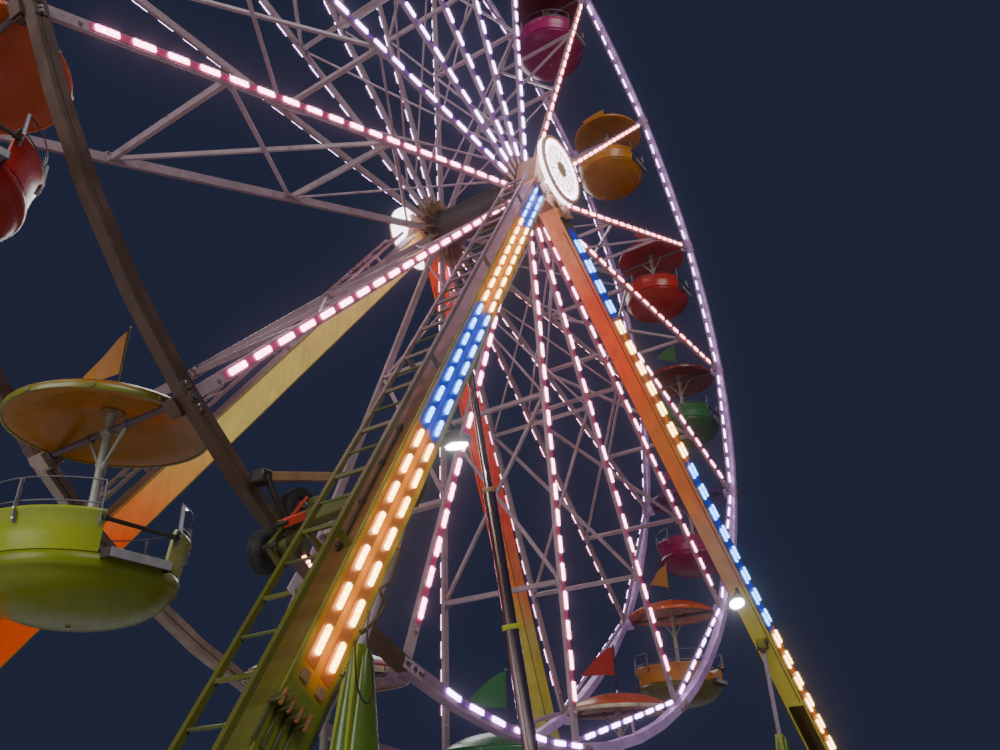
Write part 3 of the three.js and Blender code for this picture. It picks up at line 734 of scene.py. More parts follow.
FINISH_MAKERS = {
    "lime_paint": lambda: painted("lime_paint", settings().paint.lime, wear=0.15),
    "olive_paint": lambda: painted("olive_paint", OLIVE, 0.45, 0.2, 0.5),
    "dark_olive_paint": lambda: painted("dark_olive_paint", DARK_OLIVE, 0.45, 0.2, 0.5),
    "gold_paint": lambda: painted("gold_brown_paint", (0.30, 0.17, 0.07), 0.5, 0.4, 0.5),
    "rusty_paint": lambda: painted("rusty_paint", (0.32, 0.12, 0.03), 0.6, 0.6, 0.6),
    "red_paint": lambda: painted("orange_red_paint", (0.62, 0.05, 0.025), 0.4, 0.2),
    "yellow_paint": lambda: painted("yellow_green_paint", (0.55, 0.60, 0.03), 0.4, 0.2),
    "cream_paint": lambda: painted("cream_band_paint", SHADES["cream"], 0.4, 0.2, 0.45),
    "pale_paint": lambda: painted("pale_brace_paint", (0.46, 0.31, 0.36), 0.4, 0.15, 0.5),
    "post_paint": lambda: painted("grey_green_post_paint", (0.44, 0.43, 0.35), 0.4, 0.15, 0.4),
    "dark_paint": lambda: painted("dark_drum_paint", (0.055, 0.042, 0.038), 0.5, 0.3, 0.4),
    "sill_paint": lambda: painted("pale_grey_sill_paint", (0.36, 0.34, 0.35), 0.5, 0.2, 0.5),
    # Ladder paint: dark olive as painted shade, pink higher up as painted lamp light
    "ladder_paint": lambda: lit_leg_paint(
        "ladder_paint", ((0.10, 0.10, 0.008), (0.26, 0.17, 0.19)), ((3.6, 7.0),)),
    # Left legs' side covers: darker as painted shade, pink higher up as painted lamp light
    "leg_side": lambda: lit_leg_paint(
        "leg_side_paint", ((0.10, 0.10, 0.008), (0.13, 0.052, 0.008), (0.26, 0.18, 0.19)),
        ((2.4, 3.4), (5.0, 8.0))),
    # The hollow lining's near-black is painted shade
    "hollow_paint": lambda: painted("dark_hollow_paint", (0.035, 0.03, 0.012), 0.6, 0.2, 0.4),
    "hoop_steel": lambda: bare_metal("dull_hoop_steel", (0.24, 0.23, 0.25), 0.4),
    "axle_paint": lambda: painted("violet_grey_axle_paint", (0.16, 0.12, 0.15), 0.45, 0.3, 0.5),
    "blank_plate": lambda: painted("pale_plate", (0.38, 0.29, 0.33), 0.4, 0.15, 0.3),
    "amber_trim": lambda: painted("amber_trim_paint", (0.62, 0.36, 0.10), 0.35, 0.1, 0.3),
    "boot_cover": lambda: moulded("soft_boot_cover", (0.09, 0.15, 0.015), 0.4),
    # Strut rod and raising cylinder: their violet and rose are painted reflections of the lamps in chrome
    "rod_steel": lambda: painted("rod_painted_violet_reflection", (0.36, 0.30, 0.36), 0.28, 0.1, 0.3),
    "tinted_steel": lambda: bare_metal("steel_painted_rose_reflection", (0.66, 0.50, 0.46), 0.18, (6, 6, 1)),
    "grey_paint": lambda: painted("grey_bracket_paint", (0.20, 0.19, 0.20), 0.45, 0.3),
    "seam_paint": lambda: painted("dark_seam_paint", (0.09, 0.04, 0.012), 0.55, 0.3, 0.5),
    # Leg paints: their colour bands and glow are painted lamp light
    "leg_near_left": lambda: lit_leg_paint(
        "leg_paint_near_left", ((0.15, 0.19, 0.012), AMBER_LIT, ORANGE_LIT),
        ((2.9, 4.6), (6.5, 9.0)), (NEAR, LEFT)),
    "leg_near_right": lambda: lit_leg_paint(
        "leg_paint_near_right", (YELLOW_LIME, TAN_LIT, BROWN_LIT, FLAME_LIT, APRICOT_LIT),
        ((5.0, 5.3), (5.7, 6.4), (7.3, 8.1), (8.9, 9.7)), lift=0.45),
    "leg_far_left": lambda: lit_leg_paint(
        "leg_paint_far_left", (FLAME_LIT, PALE_YELLOW), ((4.7, 6.2),), (FAR, LEFT), lift=0.9),
    "leg_far_right": lambda: lit_leg_paint(
        "leg_paint_far_right", (YELLOW_LIME, BROWN_LIT, RED_LIT), ((5.0, 5.5), (6.1, 6.8)), lift=0.3),
    # Right legs' lamp-face covers: dark as painted shade, with the lamp rows' light painted on
    "lamp_face_near": lambda: lit_leg_paint("lamp_face_near_right", (DARK_OLIVE,), (), (NEAR, RIGHT)),
    "lamp_face_far": lambda: lit_leg_paint("lamp_face_far_right", (DARK_OLIVE,), (), (FAR, RIGHT)),
    # Wheel paints: the violet of lit rims is painted lamp light, and the dark rims of unlit bays are painted
    # shade
    "wheel_lit": lambda: wheel_paint("wheel_paint_lit", (0.40, 0.29, 0.44), 0.15, spill=0.15),
    "wheel_dim": lambda: wheel_paint("wheel_paint_dim", (0.23, 0.15, 0.16), 0.4, spill=0.05),
    "wheel_dark": lambda: wheel_paint("wheel_paint_unlit_dark", (0.10, 0.055, 0.038), 1.0),
    "wheel_beige": lambda: wheel_paint("wheel_paint_unlit_near", (0.11, 0.065, 0.045), 0.8, (0.34, 0.25, 0.20)),
    "steel": lambda: bare_metal("worn_steel", (0.42, 0.40, 0.39), 0.35),
    "polished": lambda: bare_metal("polished_steel", (0.62, 0.58, 0.56), 0.16, (6, 6, 1)),
    "dark_steel": lambda: bare_metal("dark_steel", (0.10, 0.085, 0.08), 0.5),
    "bolt": lambda: bare_metal("zinc_bolts", (0.45, 0.40, 0.36), 0.35, (1, 1, 1)),
    "rubber": lambda: rubber("drive_rubber"),
    "hose": lambda: rubber("hose_rubber", (0.035, 0.018, 0.012)),
    "cable": lambda: rubber("cable_sheath", (0.008, 0.008, 0.009)),
    "pane": lambda: clear_plastic("guard_pane"),
    "deck": lambda: tread_plate("deck_tread_plate"),
    "floor": lambda: floor_finish("studio_floor", settings().stage.floor_colour),
    "lamp_violet": lambda: lamp("lamp_violet", (0.95, 0.78, 1.0), (0.72, 0.34, 1.0), 0.8),
    "lamp_rose": lambda: lamp("lamp_rose", (1.0, 0.68, 0.82), (1.0, 0.22, 0.46), 0.75),
    "lamp_red": lambda: lamp("lamp_red", (1.0, 0.62, 0.62), (1.0, 0.13, 0.17), 0.7),
    "lamp_blue": lambda: lamp("lamp_blue", (0.24, 0.68, 1.0), (0.02, 0.22, 1.0), 0.5),
    "lamp_warm": lambda: lamp("lamp_warm", (1.0, 0.85, 0.42), (1.0, 0.50, 0.04), 0.7),
    "flood": lambda: lamp("floodlight_lens", (1.0, 1.0, 1.0), (0.9, 0.95, 1.0), 2.0),
    "disc_face": lambda: lamp("medallion_face", (1.0, 0.94, 1.0), (0.90, 0.72, 0.95), 0.32),
    # Lamp channels: their tint and glow are painted lamp light
    "channel_violet": lambda: channel("channel_violet", (0.42, 0.08, 0.80), 1.2),
    "channel_rose": lambda: channel("channel_rose", (0.80, 0.03, 0.20), 1.3),
    "channel_red": lambda: channel("channel_red", (0.85, 0.015, 0.03), 1.5),
    "channel_blue": lambda: channel("channel_blue", (0.0, 0.03, 0.80), 1.4),
    "channel_warm": lambda: channel("channel_warm", (0.85, 0.17, 0.01), 1.1),
}

# Finishes that come in every shade: maker, material, tone of the shade and the maker's other values
SHADED = {
    "plastic": (moulded, "moulded", 0.8),
    # Bowls are darker than the walls: painted shade on the tubs' undersides
    "bowl": (moulded, "moulded_bowl", 0.48, 0.15, 0.0, 0.25),
    "canopy": (moulded, "moulded_canopy", 0.62, 0.12, 0.05, 0.3),
    "cloth": (woven, "pennant_cloth", 1.0),
}


def finish_of(name):
    """Makes each finish once, when a piece first asks for it."""
    if name not in FINISHES:
        kind, _, shade_name = name.partition("_")
        if name in FINISH_MAKERS:
            FINISHES[name] = FINISH_MAKERS[name]()
        else:
            maker, title, tone, *values = SHADED[kind]
            FINISHES[name] = maker(f"{title}_{shade_name}", shade(SHADES[shade_name], tone), *values)
    return FINISHES[name]


# Settings

def length_value(name, about, default, low, high=1000.0):
    return FloatProperty(name=name, description=about, default=default, min=low, max=high, unit="LENGTH")


def colour_value(name, about, default):
    return FloatVectorProperty(
        name=name, description=about, default=default, subtype="COLOR", min=0.0, max=1.0)


def plain_value(name, about, default, high=100000.0, subtype="NONE"):
    return FloatProperty(name=name, description=about, default=default, min=0.0, max=high, subtype=subtype)


class LampSettings(bpy.types.PropertyGroup):
    """Sizes and brightness of the lamp strips"""

    pitch: length_value("Lamp pitch", "Distance from one lamp to the next", 0.35, 0.2)
    length: length_value("Lamp length", "Length of one lamp lens", 0.215, 0.05)
    width: length_value("Lamp width", "Width of a lamp lens on a spoke", 0.055, 0.01)
    strength: plain_value("Lamp strength", "Brightness of a lamp lens", 13.0)
    # Strength of the channels' glow, which is painted lamp light
    spill: plain_value("Spill strength", "Brightness of the strip between the lamps", 0.25)


class PaintSettings(bpy.types.PropertyGroup):
    """Main paint colours"""

    lime: colour_value("Frame lime", "Paint of the base, ladders and drive", LIME)


class CabinSettings(bpy.types.PropertyGroup):
    """Sizes of the cabin's trim"""

    band_height: length_value("Canopy band", "Height of the band round the canopy", 0.05, 0.04, 0.1)
    hoop_tube: length_value("Guard tube", "Radius of the guard hoops", 0.006, 0.005, 0.02)
    pennant_height: length_value("Pennant height", "Height of the pennant at its pole", 0.42, 0.2, 0.45)
    pennant_length: length_value("Pennant length", "Length of the pennant from its pole", 0.58, 0.2, 0.65)


class StageSettings(bpy.types.PropertyGroup):
    """Floor, lights and glow of the studio"""

    floor_size: length_value("Floor size", "Length of the floor's sides", 160.0, 40.0)
    floor_colour: colour_value("Floor colour", "Colour of the pale floor", (0.60, 0.60, 0.62))
    sky_colour: colour_value("Surround colour", "Colour of the plain surround", (0.017, 0.021, 0.046))
    key_power: plain_value("Key light", "Power of the large soft light", 4200.0, subtype="POWER")
    fill_power: plain_value("Fill light", "Power of the soft light near the camera", 2300.0, subtype="POWER")
    glow: plain_value("Glow", "Strength of the soft glow round bright lamps", 0.26, 1.0, "FACTOR")


class FerrisWheelSettings(bpy.types.PropertyGroup):
    """All settings of the ferris wheel"""

    lamps: PointerProperty(type=LampSettings)
    paint: PointerProperty(type=PaintSettings)
    cabins: PointerProperty(type=CabinSettings)
    stage: PointerProperty(type=StageSettings)


# Pieces

class FERRIS_OT_stage(bpy.types.Operator):
    """Pale floor, soft lights and the camera at the photograph's angle"""

    bl_idname = "ferris.stage"
    bl_label = "Stage"

    def execute(self, context):
        scene = context.scene
        stage = settings().stage
        camera = bpy.data.cameras.new("camera")
        camera.lens = CAMERA_LENS
        camera.sensor_width = 36
        camera.clip_end = 500
        eye = bpy.data.objects.new("camera", camera)
        turn = Matrix((CAMERA_RIGHT, CAMERA_UP, CAMERA_BACK)).transposed().to_4x4()
        eye.matrix_world = moved(CAMERA_PLACE) @ turn
        scene.collection.objects.link(eye)
        scene.camera = eye
        bm = bmesh.new()
        bmesh.ops.create_grid(bm, x_segments=4, y_segments=4, size=stage.floor_size / 2)
        mesh = ready_mesh(bm, "studio_floor")
        mesh.materials.append(finish_of("floor"))
        floor = bpy.data.objects.new("studio_floor", mesh)
        scene.collection.objects.link(floor)
        for name, place, aim, size, power in (
            ("key_light", (-14, -22, 26), (0, 0, 9), 16, stage.key_power),
            ("fill_light", (-22, 1, 11), (0, 0, 8), 12, stage.fill_power),
            ("rim_light", (14, 18, 20), (0, 0, 10), 14, stage.fill_power),
        ):
            lamp_data = bpy.data.lights.new(name, "AREA")
            lamp_data.size = size
            lamp_data.energy = power
            light = bpy.data.objects.new(name, lamp_data)
            turn = (Vector(place) - Vector(aim)).to_track_quat("Z", "Y")
            light.matrix_world = moved(place) @ turn.to_matrix().to_4x4()
            scene.collection.objects.link(light)
        world = bpy.data.worlds.new("plain_surround")
        world.use_nodes = True
        world.node_tree.nodes["Background"].inputs["Color"].default_value = (*stage.sky_colour, 1)
        scene.world = world
        scene.use_nodes = True
        tree = scene.node_tree
        glare = tree.nodes.new("CompositorNodeGlare")
        glare.glare_type = "FOG_GLOW"
        glare.inputs["Threshold"].default_value = 1.4
        glare.inputs["Strength"].default_value = stage.glow
        glare.inputs["Size"].default_value = 0.35
        tree.links.new(tree.nodes["Render Layers"].outputs["Image"], glare.inputs["Image"])
        tree.links.new(glare.outputs["Image"], tree.nodes["Composite"].inputs["Image"])
        return {"FINISHED"}


class FERRIS_OT_frame_finishes(bpy.types.Operator):
    """Paint and metal of the solid frame's own parts, with painted lamp light and shade on the wheel, legs
    and ladders
    """

    bl_idname = "ferris.frame_finishes"
    bl_label = "Frame Finishes"

    def execute(self, context):
        chosen = {
            "hub_drum": "dark_paint",
            "bearing_head_near": "gold_paint",
            "bearing_head_far": "gold_paint",
            "medallion_near": "disc_face",
            "medallion_far": "disc_face",
            "ladder_near": "ladder_paint",
            "ladder_far": "ladder_paint",
            "boarding_deck": "deck",
            "drive_bracket": "dark_olive_paint",
        }
        for name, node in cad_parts.items():
            if name.startswith("wheel_bay_"):
                number = name.removeprefix("wheel_bay_")[:2]
                # Rims lit by lamps get painted lamp light, rims of unlit bays painted shade
                plain = "wheel_dim" if int(number) - 1 == RIM_LAMP_BAY else "wheel_lit"
                finish = UNLIT_BAY_FINISHES.get(int(number) - 1, plain)
            elif name.startswith("leg_"):
                finish = name
            else:
                finish = chosen.get(name, "lime_paint")
            if node.material_slots:
                node.material_slots[0].material = finish_of(finish)
            else:
                node.data.materials.append(finish_of(finish))
        return {"FINISHED"}


def bay_slot(k):
    return f"wheel_bay_{k + 1:02d}" + ("_near" if k == BOLTED_BAY else "")


def bay_tint(k):
    if k < 4:
        return "red"
    return "violet" if k < 9 else "rose"


class FERRIS_OT_wheel_lamps(bpy.types.Operator):
    """Lamp strips on the spokes, light bars and rim"""

    bl_idname = "ferris.wheel_lamps"
    bl_label = "Wheel Lamps"

    first_radius = 0.72
    last_radius = 7.42
    bar_margin = 0.12

    def spoke_strip(self, bm, lens, side):
        lamps = settings().lamps
        count = int((self.last_radius - self.first_radius) / lamps.pitch) + 1
        for i in range(count):
            stamp(bm, lens, spoke_lamp_place(side, self.first_radius + i * lamps.pitch, 0.006), 0)
        ends = [spoke_point(side, at, 0.004) for at in (self.first_radius - 0.15, self.last_radius + 0.1)]
        bar(bm, *ends, lamps.width * 1.25, 0.01, (0, 1, 0), 1)

    def chord_strip(self, bm, lens, side, start, end, margin):
        lamps = settings().lamps
        start, end = Vector(start), Vector(end)
        along = (end - start).normalized()
        room = (end - start).length - 2 * margin
        count = max(1, int(room / lamps.pitch + 0.4))
        pitch = room / count
        for i in range(count):
            spot = start + along * (margin + (i + 0.5) * pitch)
            stamp(bm, lens, facing(spot + Vector((0, side * 0.005, 0)), along, (0, side, 0)), 2)
        low, high = start + along * margin, end - along * margin
        lift = Vector((0, side * 0.003, 0))
        bar(bm, low + lift, high + lift, 0.058, 0.008, (0, 1, 0), 3)

    def rim_strip(self, bm, lens, side):
        """Lamps on the rim's own face, which begin a little way in from the bearing."""
        edge = Vector((RIM_INNER + 0.045, side * RIM_FACE_OUT, 0))
        for i in range(4):
            low = Matrix.Rotation(-STEP * i / 4, 4, "Y") @ edge
            high = Matrix.Rotation(-STEP * (i + 1) / 4, 4, "Y") @ edge
            start = low.lerp(high, 0.55) if i == 0 else low
            self.chord_strip(bm, lens, side, start, high, 0.02)

    def execute(self, context):
        lamps = settings().lamps
        lens = lamp_template(lamps.length, lamps.width, 0.024)
        low_lens = lamp_template(lamps.length, 0.05, 0.02)
        for k in range(SPOKES):
            bm = bmesh.new()
            for side in (NEAR, FAR):
                self.spoke_strip(bm, lens, side)
                if k == RIM_LAMP_BAY:
                    self.rim_strip(bm, low_lens, side)
                elif k not in UNLIT_BAY_FINISHES:
                    start = Vector((LIGHT_BAR_RADIUS, side * LIGHT_BAR_FACE, 0))
                    turn = Matrix.Rotation(-STEP, 4, "Y")
                    self.chord_strip(bm, low_lens, side, start, turn @ start, self.bar_margin)
            bmesh.ops.transform(bm, matrix=bay_place(k), verts=bm.verts)
            tint = bay_tint(k)
            made = (f"lamp_{tint}", f"channel_{tint}", "lamp_violet", "channel_violet")
            make_piece(f"bay_lamps_{k + 1:02d}", bm, made, bay_slot(k), "wheel")
        return {"FINISHED"}


class FERRIS_OT_bay_fittings(bpy.types.Operator):
    """Braces, pins, plates and bearings of each bay"""

    bl_idname = "ferris.bay_fittings"
    bl_label = "Bay Fittings"

    clamp_at = 0.09
    plate_bolts = (-0.115, -0.08, 0.08, 0.115)

    def root_straps(self, bm, side, bolt):
        """Bolted straps on both edges of a spoke where it meets the hub."""
        for across in (-1, 1):
            edge = across * (SPOKE_WIDE / 2 + 0.004)
            ends = [spoke_point(side, radius, -SPOKE_DEEP / 2, edge) for radius in (SPOKE_START, 0.62)]
            bar(bm, *ends, 0.012, 0.062, (0, 1, 0), 2, 0.003)
            for radius in (0.42, 0.55):
                spot = spoke_point(side, radius, -SPOKE_DEEP / 2, edge + across * 0.005)
                stamp(bm, bolt, facing(spot, (1, 0, 0), (0, 0, across)), 1)

    def cross_plates(self, bm, side, bolt):
        """Bolted plates on the inner face of a spoke, where the cross tubes meet it."""
        half = Vector((0.07, 0, 0))
        for radius in CROSS_RADII:
            spot = spoke_point(side, radius, -SPOKE_DEEP - 0.008)
            bar(bm, spot - half, spot + half, 0.11, 0.014, (0, 1, 0), 0, 0.003)
            for shift in (-0.05, 0.05):
                for across in (0.042, -0.042):
                    head = spot + Vector((shift, -side * 0.007, across))
                    stamp(bm, bolt, facing(head, (1, 0, 0), (0, -side, 0)), 1)

    def bearing(self, bm, side, bolt):
        """Boss, pin, plate and clamp where a tub's axle hangs in the rim."""
        for start, end, radius, sides, index, soft in (
            (-0.002, 0.02, 0.05, 14, 3, 0.004), (0.015, 0.032, 0.024, 10, 1, 0),
        ):
            ends = [(NODE_RADIUS, side * (RIM_FACE_OUT + out), 0) for out in (start, end)]
            rod(bm, *ends, radius, sides, index, soft)
        plate = (RIM_FACE_OUT, RIM_FACE_OUT + 0.01)
        side_block(bm, side, (NODE_RADIUS - 0.055, NODE_RADIUS + 0.045), plate, (-0.14, 0.14), 3, 0.003)
        for shift in self.plate_bolts:
            spot = (NODE_RADIUS - 0.005, side * plate[1], shift)
            stamp(bm, bolt, facing(spot, (0, 0, 1), (0, side, 0)), 1)
        ends = [(NODE_RADIUS, side * (BEARING_FACE + out), self.clamp_at) for out in (0.001, 0.1)]
        bar(bm, *ends, 0.12, 0.02, (0, 0, 1), 3, 0.003)

    def template(self):
        bm = bmesh.new()
        bolt = bolt_template(0.014, 0.02)
        middle = -SPOKE_DEEP / 2
        wire = (-0.012, SPOKE_WIDE / 2 + 0.005)
        for side in (NEAR, FAR):
            rod(bm, spoke_point(side, 0.95, middle), spoke_point(-side, CROSS_RADII[0], middle), 0.017, 8, 0)
            rod(bm, spoke_point(side, 7.6, -SPOKE_DEEP - 0.02), spoke_point(side, 7.6, 0.028), 0.02, 8, 3)
            self.root_straps(bm, side, bolt)
            self.cross_plates(bm, side, bolt)
            self.bearing(bm, side, bolt)
            rod(bm, spoke_point(side, 0.9, *wire), spoke_point(side, 7.4, *wire), 0.005, 6, 4)
        return ready_mesh(bm, "bay_fittings")

    def execute(self, context):
        template = self.template()
        for k in range(SPOKES):
            rim = UNLIT_BAY_FINISHES.get(k, "pale_paint")
            made = ("pale_paint", "bolt", "gold_paint", rim, "pale_paint")
            placed_copy(f"bay_fittings_{k + 1:02d}", template, bay_place(k), made, bay_slot(k), "wheel")
        return {"FINISHED"}


class FERRIS_OT_hub(bpy.types.Operator):
    """Lugs, bands and bolts on the hub drum"""

    bl_idname = "ferris.hub"
    bl_label = "Hub"

    def execute(self, context):
        bm = bmesh.new()
        bolt = bolt_template(0.018, 0.026)
        across = moved(HUB) @ ACROSS
        for y, deep, high, half, index in (
            (0, 0.02, 0.003, 0.70, 3), (-0.66, 0.01, 0.01, 0.02, 0), (0.66, 0.01, 0.01, 0.02, 0),
        ):
            low, top = DRUM_RADIUS - deep, DRUM_RADIUS + high
            band = ((low, -half), (top, -half), (top, half), (low, half))
            lathe(bm, band, 48, moved(0, y, 0) @ across, index)
        collar = turned([(0.086, -0.03), (0.15, -0.03), (0.15, 0.012), (0.13, 0.03), (0.086, 0.03)], 28)
        for side in (NEAR, FAR):
            stamp(bm, collar, moved(0, side * (FLANGE_FACE + 0.03), 0) @ across, 1)
            for k in range(SPOKES):
                for radius in (FLANGE_RADIUS - 0.03, 0.21):
                    spot = facing((radius, side * FLANGE_FACE, 0), (1, 0, 0), (0, side, 0))
                    stamp(bm, bolt, bay_place(k + 0.5) @ spot, 2)
                web = bmesh.new()
                web_ends = (FLANGE_FACE - 0.118, FLANGE_FACE + 0.012)
                side_block(web, side, (0.24, 0.50), web_ends, (-0.012, 0.012), soft=0.003)
                stamp(bm, ready_mesh(web, "web"), bay_place(k), 1)
        made = ("dark_steel", "gold_paint", "bolt", "dark_paint")
        make_piece("hub_fittings", bm, made, "hub_drum", "wheel")
        return {"FINISHED"}


# Cabins, each modelled about the middle of its axle

FLOOR_Z = -1.36
SILL_Z = -1.17
WALL_TOP = -0.886
ENTRY_TURN = math.radians(22.5)
WALL_SWEEP = math.pi - 2 * ENTRY_TURN
POST_RADIUS = 0.038
GUARD_HEIGHTS = (-0.846, -0.675)

# Start angles of the two wall halves, right and left of the entrances
WALL_STARTS = (-math.pi / 2 + ENTRY_TURN, math.pi / 2 + ENTRY_TURN)


def cabin_piece(kind, k, template, made, stands=True, turn=Matrix()):
    """Hangs a copy of a template on one cabin, and lets it stand for the cabin's solid."""
    number = f"{k + 1:02d}"
    node = f"cabin_{number}"
    return placed_copy(f"{kind}_{number}", template, moved(axle_point(k)) @ turn, made, node,
                       f"cabin_body_{number}", (node,) if stands else ())


class FERRIS_OT_tubs(bpy.types.Operator):
    """Tub, seats, thresholds, safety bars and guard hoops of every cabin"""

    bl_idname = "ferris.tubs"
    bl_label = "Tubs"

    bowl = ((0, -1.54), (0.2, -1.533), (0.36, -1.508), (0.5, -1.462), (0.6, -1.402), (0.665, -1.33),
            (0.684, -1.292), (0.70, -1.282), (0.712, -1.262), (0.714, -1.222), (0.706, -1.186),
            (0.69, -1.172), (0.662, -1.172), (0.645, -1.20), (0.61, -1.34), (0.585, FLOOR_Z), (0, FLOOR_Z))
    wall = ((0.704, SILL_Z - 0.004), (0.722, -1.06), (0.738, -0.93), (0.756, -0.912), (0.760, -0.898),
            (0.755, WALL_TOP), (0.738, WALL_TOP + 0.004), (0.724, -0.90), (0.712, -0.94), (0.698, -1.06),
            (0.68, SILL_Z - 0.004))
    seat = ((0.44, FLOOR_Z - 0.003), (0.43, -1.13), (0.44, -1.112), (0.47, -1.104), (0.62, -1.11),
            (0.695, -1.10), (0.695, -1.13), (0.60, FLOOR_Z - 0.003))
    guard_radius = 0.742
    guard_margin = 0.05
    guard_sweep = WALL_SWEEP - 2 * guard_margin
    bar_height = -0.95

    def shell(self):
        bm = bmesh.new()
        lathe(bm, self.bowl, 40, index=1)
        for start in WALL_STARTS:
            stamp(bm, turned(self.wall, 22, start, WALL_SWEEP), Matrix(), 0)
            stamp(bm, turned(self.seat, 16, start + 0.12, WALL_SWEEP - 0.24), Matrix(), 2)
        stamp(bm, bolt_template(0.022, 0.02), moved(0, 0, -1.536) @ Matrix.Rotation(math.pi, 4, "X"), 3)
        return ready_mesh(bm, "tub_shell")

    def strap(self, bolt, tube):
        """One upright of the guard, with the strap that bolts it to the wall."""
        bm = bmesh.new()
        bar(bm, (0.752, 0, -0.69), (0.757, 0, -0.87), 0.034, 0.008, (0, 1, 0), 2, 0.002)
        bar(bm, (0.762, 0, -0.865), (0.742, 0, -1.0), 0.034, 0.008, (0, 1, 0), 2, 0.002)
        rod(bm, *((self.guard_radius, 0, z) for z in reversed(GUARD_HEIGHTS)), tube, 8, 0)
        for z, r in ((-0.90, 0.765), (-0.97, 0.755)):
            stamp(bm, bolt, moved(r, 0, z) @ OUTWARD, 3)
        return ready_mesh(bm, "strap")

    def entrance(self, bm, side):
        """Sill, trim, tread strips and safety bar of one entrance."""
        for x_ends, y_ends, z_ends, index, soft in (
            ((-0.25, 0.25), (0.64, 0.755), (-0.03, 0.018), 2, 0.006),
            ((-0.255, 0.255), (0.745, 0.760), (-0.05, 0.020), 5, 0.005),
            ((-0.258, -0.246), (0.62, 0.76), (-0.05, 0.022), 4, 0.003),
            ((0.246, 0.258), (0.62, 0.76), (-0.05, 0.022), 4, 0.003),
            ((-0.255, 0.255), (0.758, 0.764), (-0.056, -0.046), 4, 0.002),
        ):
            side_block(bm, side, x_ends, y_ends, [SILL_Z + z for z in z_ends], index, soft)
        for i in range(5):
            x = -0.2 + i * 0.1
            side_block(bm, side, (x - 0.006, x + 0.006), (0.65, 0.73), (SILL_Z + 0.017, SILL_Z + 0.022), 0)
        y = side * 0.70
        for start, end, radius, soft in (
            (-0.30, 0.31, 0.016, 0), (0.25, 0.30, 0.024, 0.004), (-0.31, -0.27, 0.022, 0.004),
        ):
            rod(bm, (start, y, self.bar_height), (end, y, self.bar_height), radius, 10, 4, soft)
        knob = Vector((0.27, y + side * 0.045, -0.925))
        rod(bm, (knob.x, y, -0.955), knob, 0.009, 8, 4)
        lathe(bm, [(0, -0.018), (0.012, -0.015), (0.018, 0), (0.012, 0.015), (0, 0.018)], 10, moved(knob), 4)

    def fittings(self):
        tube = settings().cabins.hoop_tube
        bm = bmesh.new()
        low, high = GUARD_HEIGHTS
        ring = self.guard_radius
        strap = self.strap(bolt_template(0.008, 0.01), tube)
        for start in WALL_STARTS:
            first = start + self.guard_margin
            for z in GUARD_HEIGHTS:
                stamp(bm, hoop(ring, tube, 22, first, self.guard_sweep), moved(0, 0, z), 0)
            pane = [(ring - 0.002, low), (ring + 0.002, low), (ring + 0.002, high), (ring - 0.002, high)]
            stamp(bm, turned(pane, 22, first, self.guard_sweep), Matrix(), 1)
            for i in range(4):
                stamp(bm, strap, Matrix.Rotation(first + self.guard_sweep * i / 3, 4, "Z"), None)
        for side in (NEAR, FAR):
            self.entrance(bm, side)
        return ready_mesh(bm, "tub_fittings")

    def execute(self, context):
        shell = self.shell()
        fittings = self.fittings()
        made = ("hoop_steel", "pane", "grey_paint", "bolt", "dark_steel", "sill_paint")
        for k in range(SPOKES):
            wall, bowl, _canopy, _pennant = CABIN_SHADES[k]
            cabin_piece("tub", k, shell, (f"plastic_{wall}", f"bowl_{bowl}", "plastic_cream", "bolt"))
            cabin_piece("tub_fittings", k, fittings, made, stands=False)
        return {"FINISHED"}


# Finishes of the canopies' bands, where they differ from the canopy
CANOPY_BANDS = {10: "plastic_olive", 11: "cream_paint", 13: "cream_paint"}


class FERRIS_OT_canopies(bpy.types.Operator):
    """Domed canopies with their banded rims"""

    bl_idname = "ferris.canopies"
    bl_label = "Canopies"

    dome = ((0.016, 0.272), (0.10, 0.270), (0.24, 0.257), (0.38, 0.233), (0.50, 0.202), (0.61, 0.160),
            (0.70, 0.115), (0.755, 0.078), (0.772, 0.066), (0.772, 0.010), (0.755, 0.006), (0.60, 0.043),
            (0.40, 0.098), (0.22, 0.146), (0.08, 0.176), (0.016, 0.182))

    def template(self):
        band = settings().cabins.band_height
        bm = bmesh.new()
        lathe(bm, self.dome, 40)
        lathe(bm, [(0.765, 0.0), (0.785, 0.0), (0.788, 0.008), (0.788, band - 0.008), (0.785, band),
                   (0.765, band)], 40, index=1)
        bolt = bolt_template(0.008, 0.008)
        for angle in ring_of(10, 0.2):
            joint = bmesh.new()
            block(joint, (0.782, -0.022, 0.004), (0.793, 0.022, band - 0.004), 1, 0.002)
            for z in (0.016, band - 0.016):
                stamp(joint, bolt, moved(0.792, 0, z) @ OUTWARD, 2)
            stamp(bm, ready_mesh(joint, "joint"), Matrix.Rotation(angle, 4, "Z"), None)
        inner = POST_RADIUS - 0.004
        lathe(bm, [(inner, 0.150), (0.095, 0.158), (0.095, 0.168), (inner, 0.178)], 24, index=3)
        for angle in ring_of(6):
            spot = Matrix.Rotation(angle, 4, "Z") @ moved(0.075, 0, 0.156)
            stamp(bm, bolt, spot @ Matrix.Rotation(math.pi, 4, "X"), 2)
        return ready_mesh(bm, "canopy")

    def execute(self, context):
        template = self.template()
        for k in range(SPOKES):
            canopy = CABIN_SHADES[k][2]
            band = CANOPY_BANDS.get(k, f"plastic_{canopy}")
            cabin_piece("canopy", k, template, (f"canopy_{canopy}", band, "bolt", "gold_paint"))
        return {"FINISHED"}


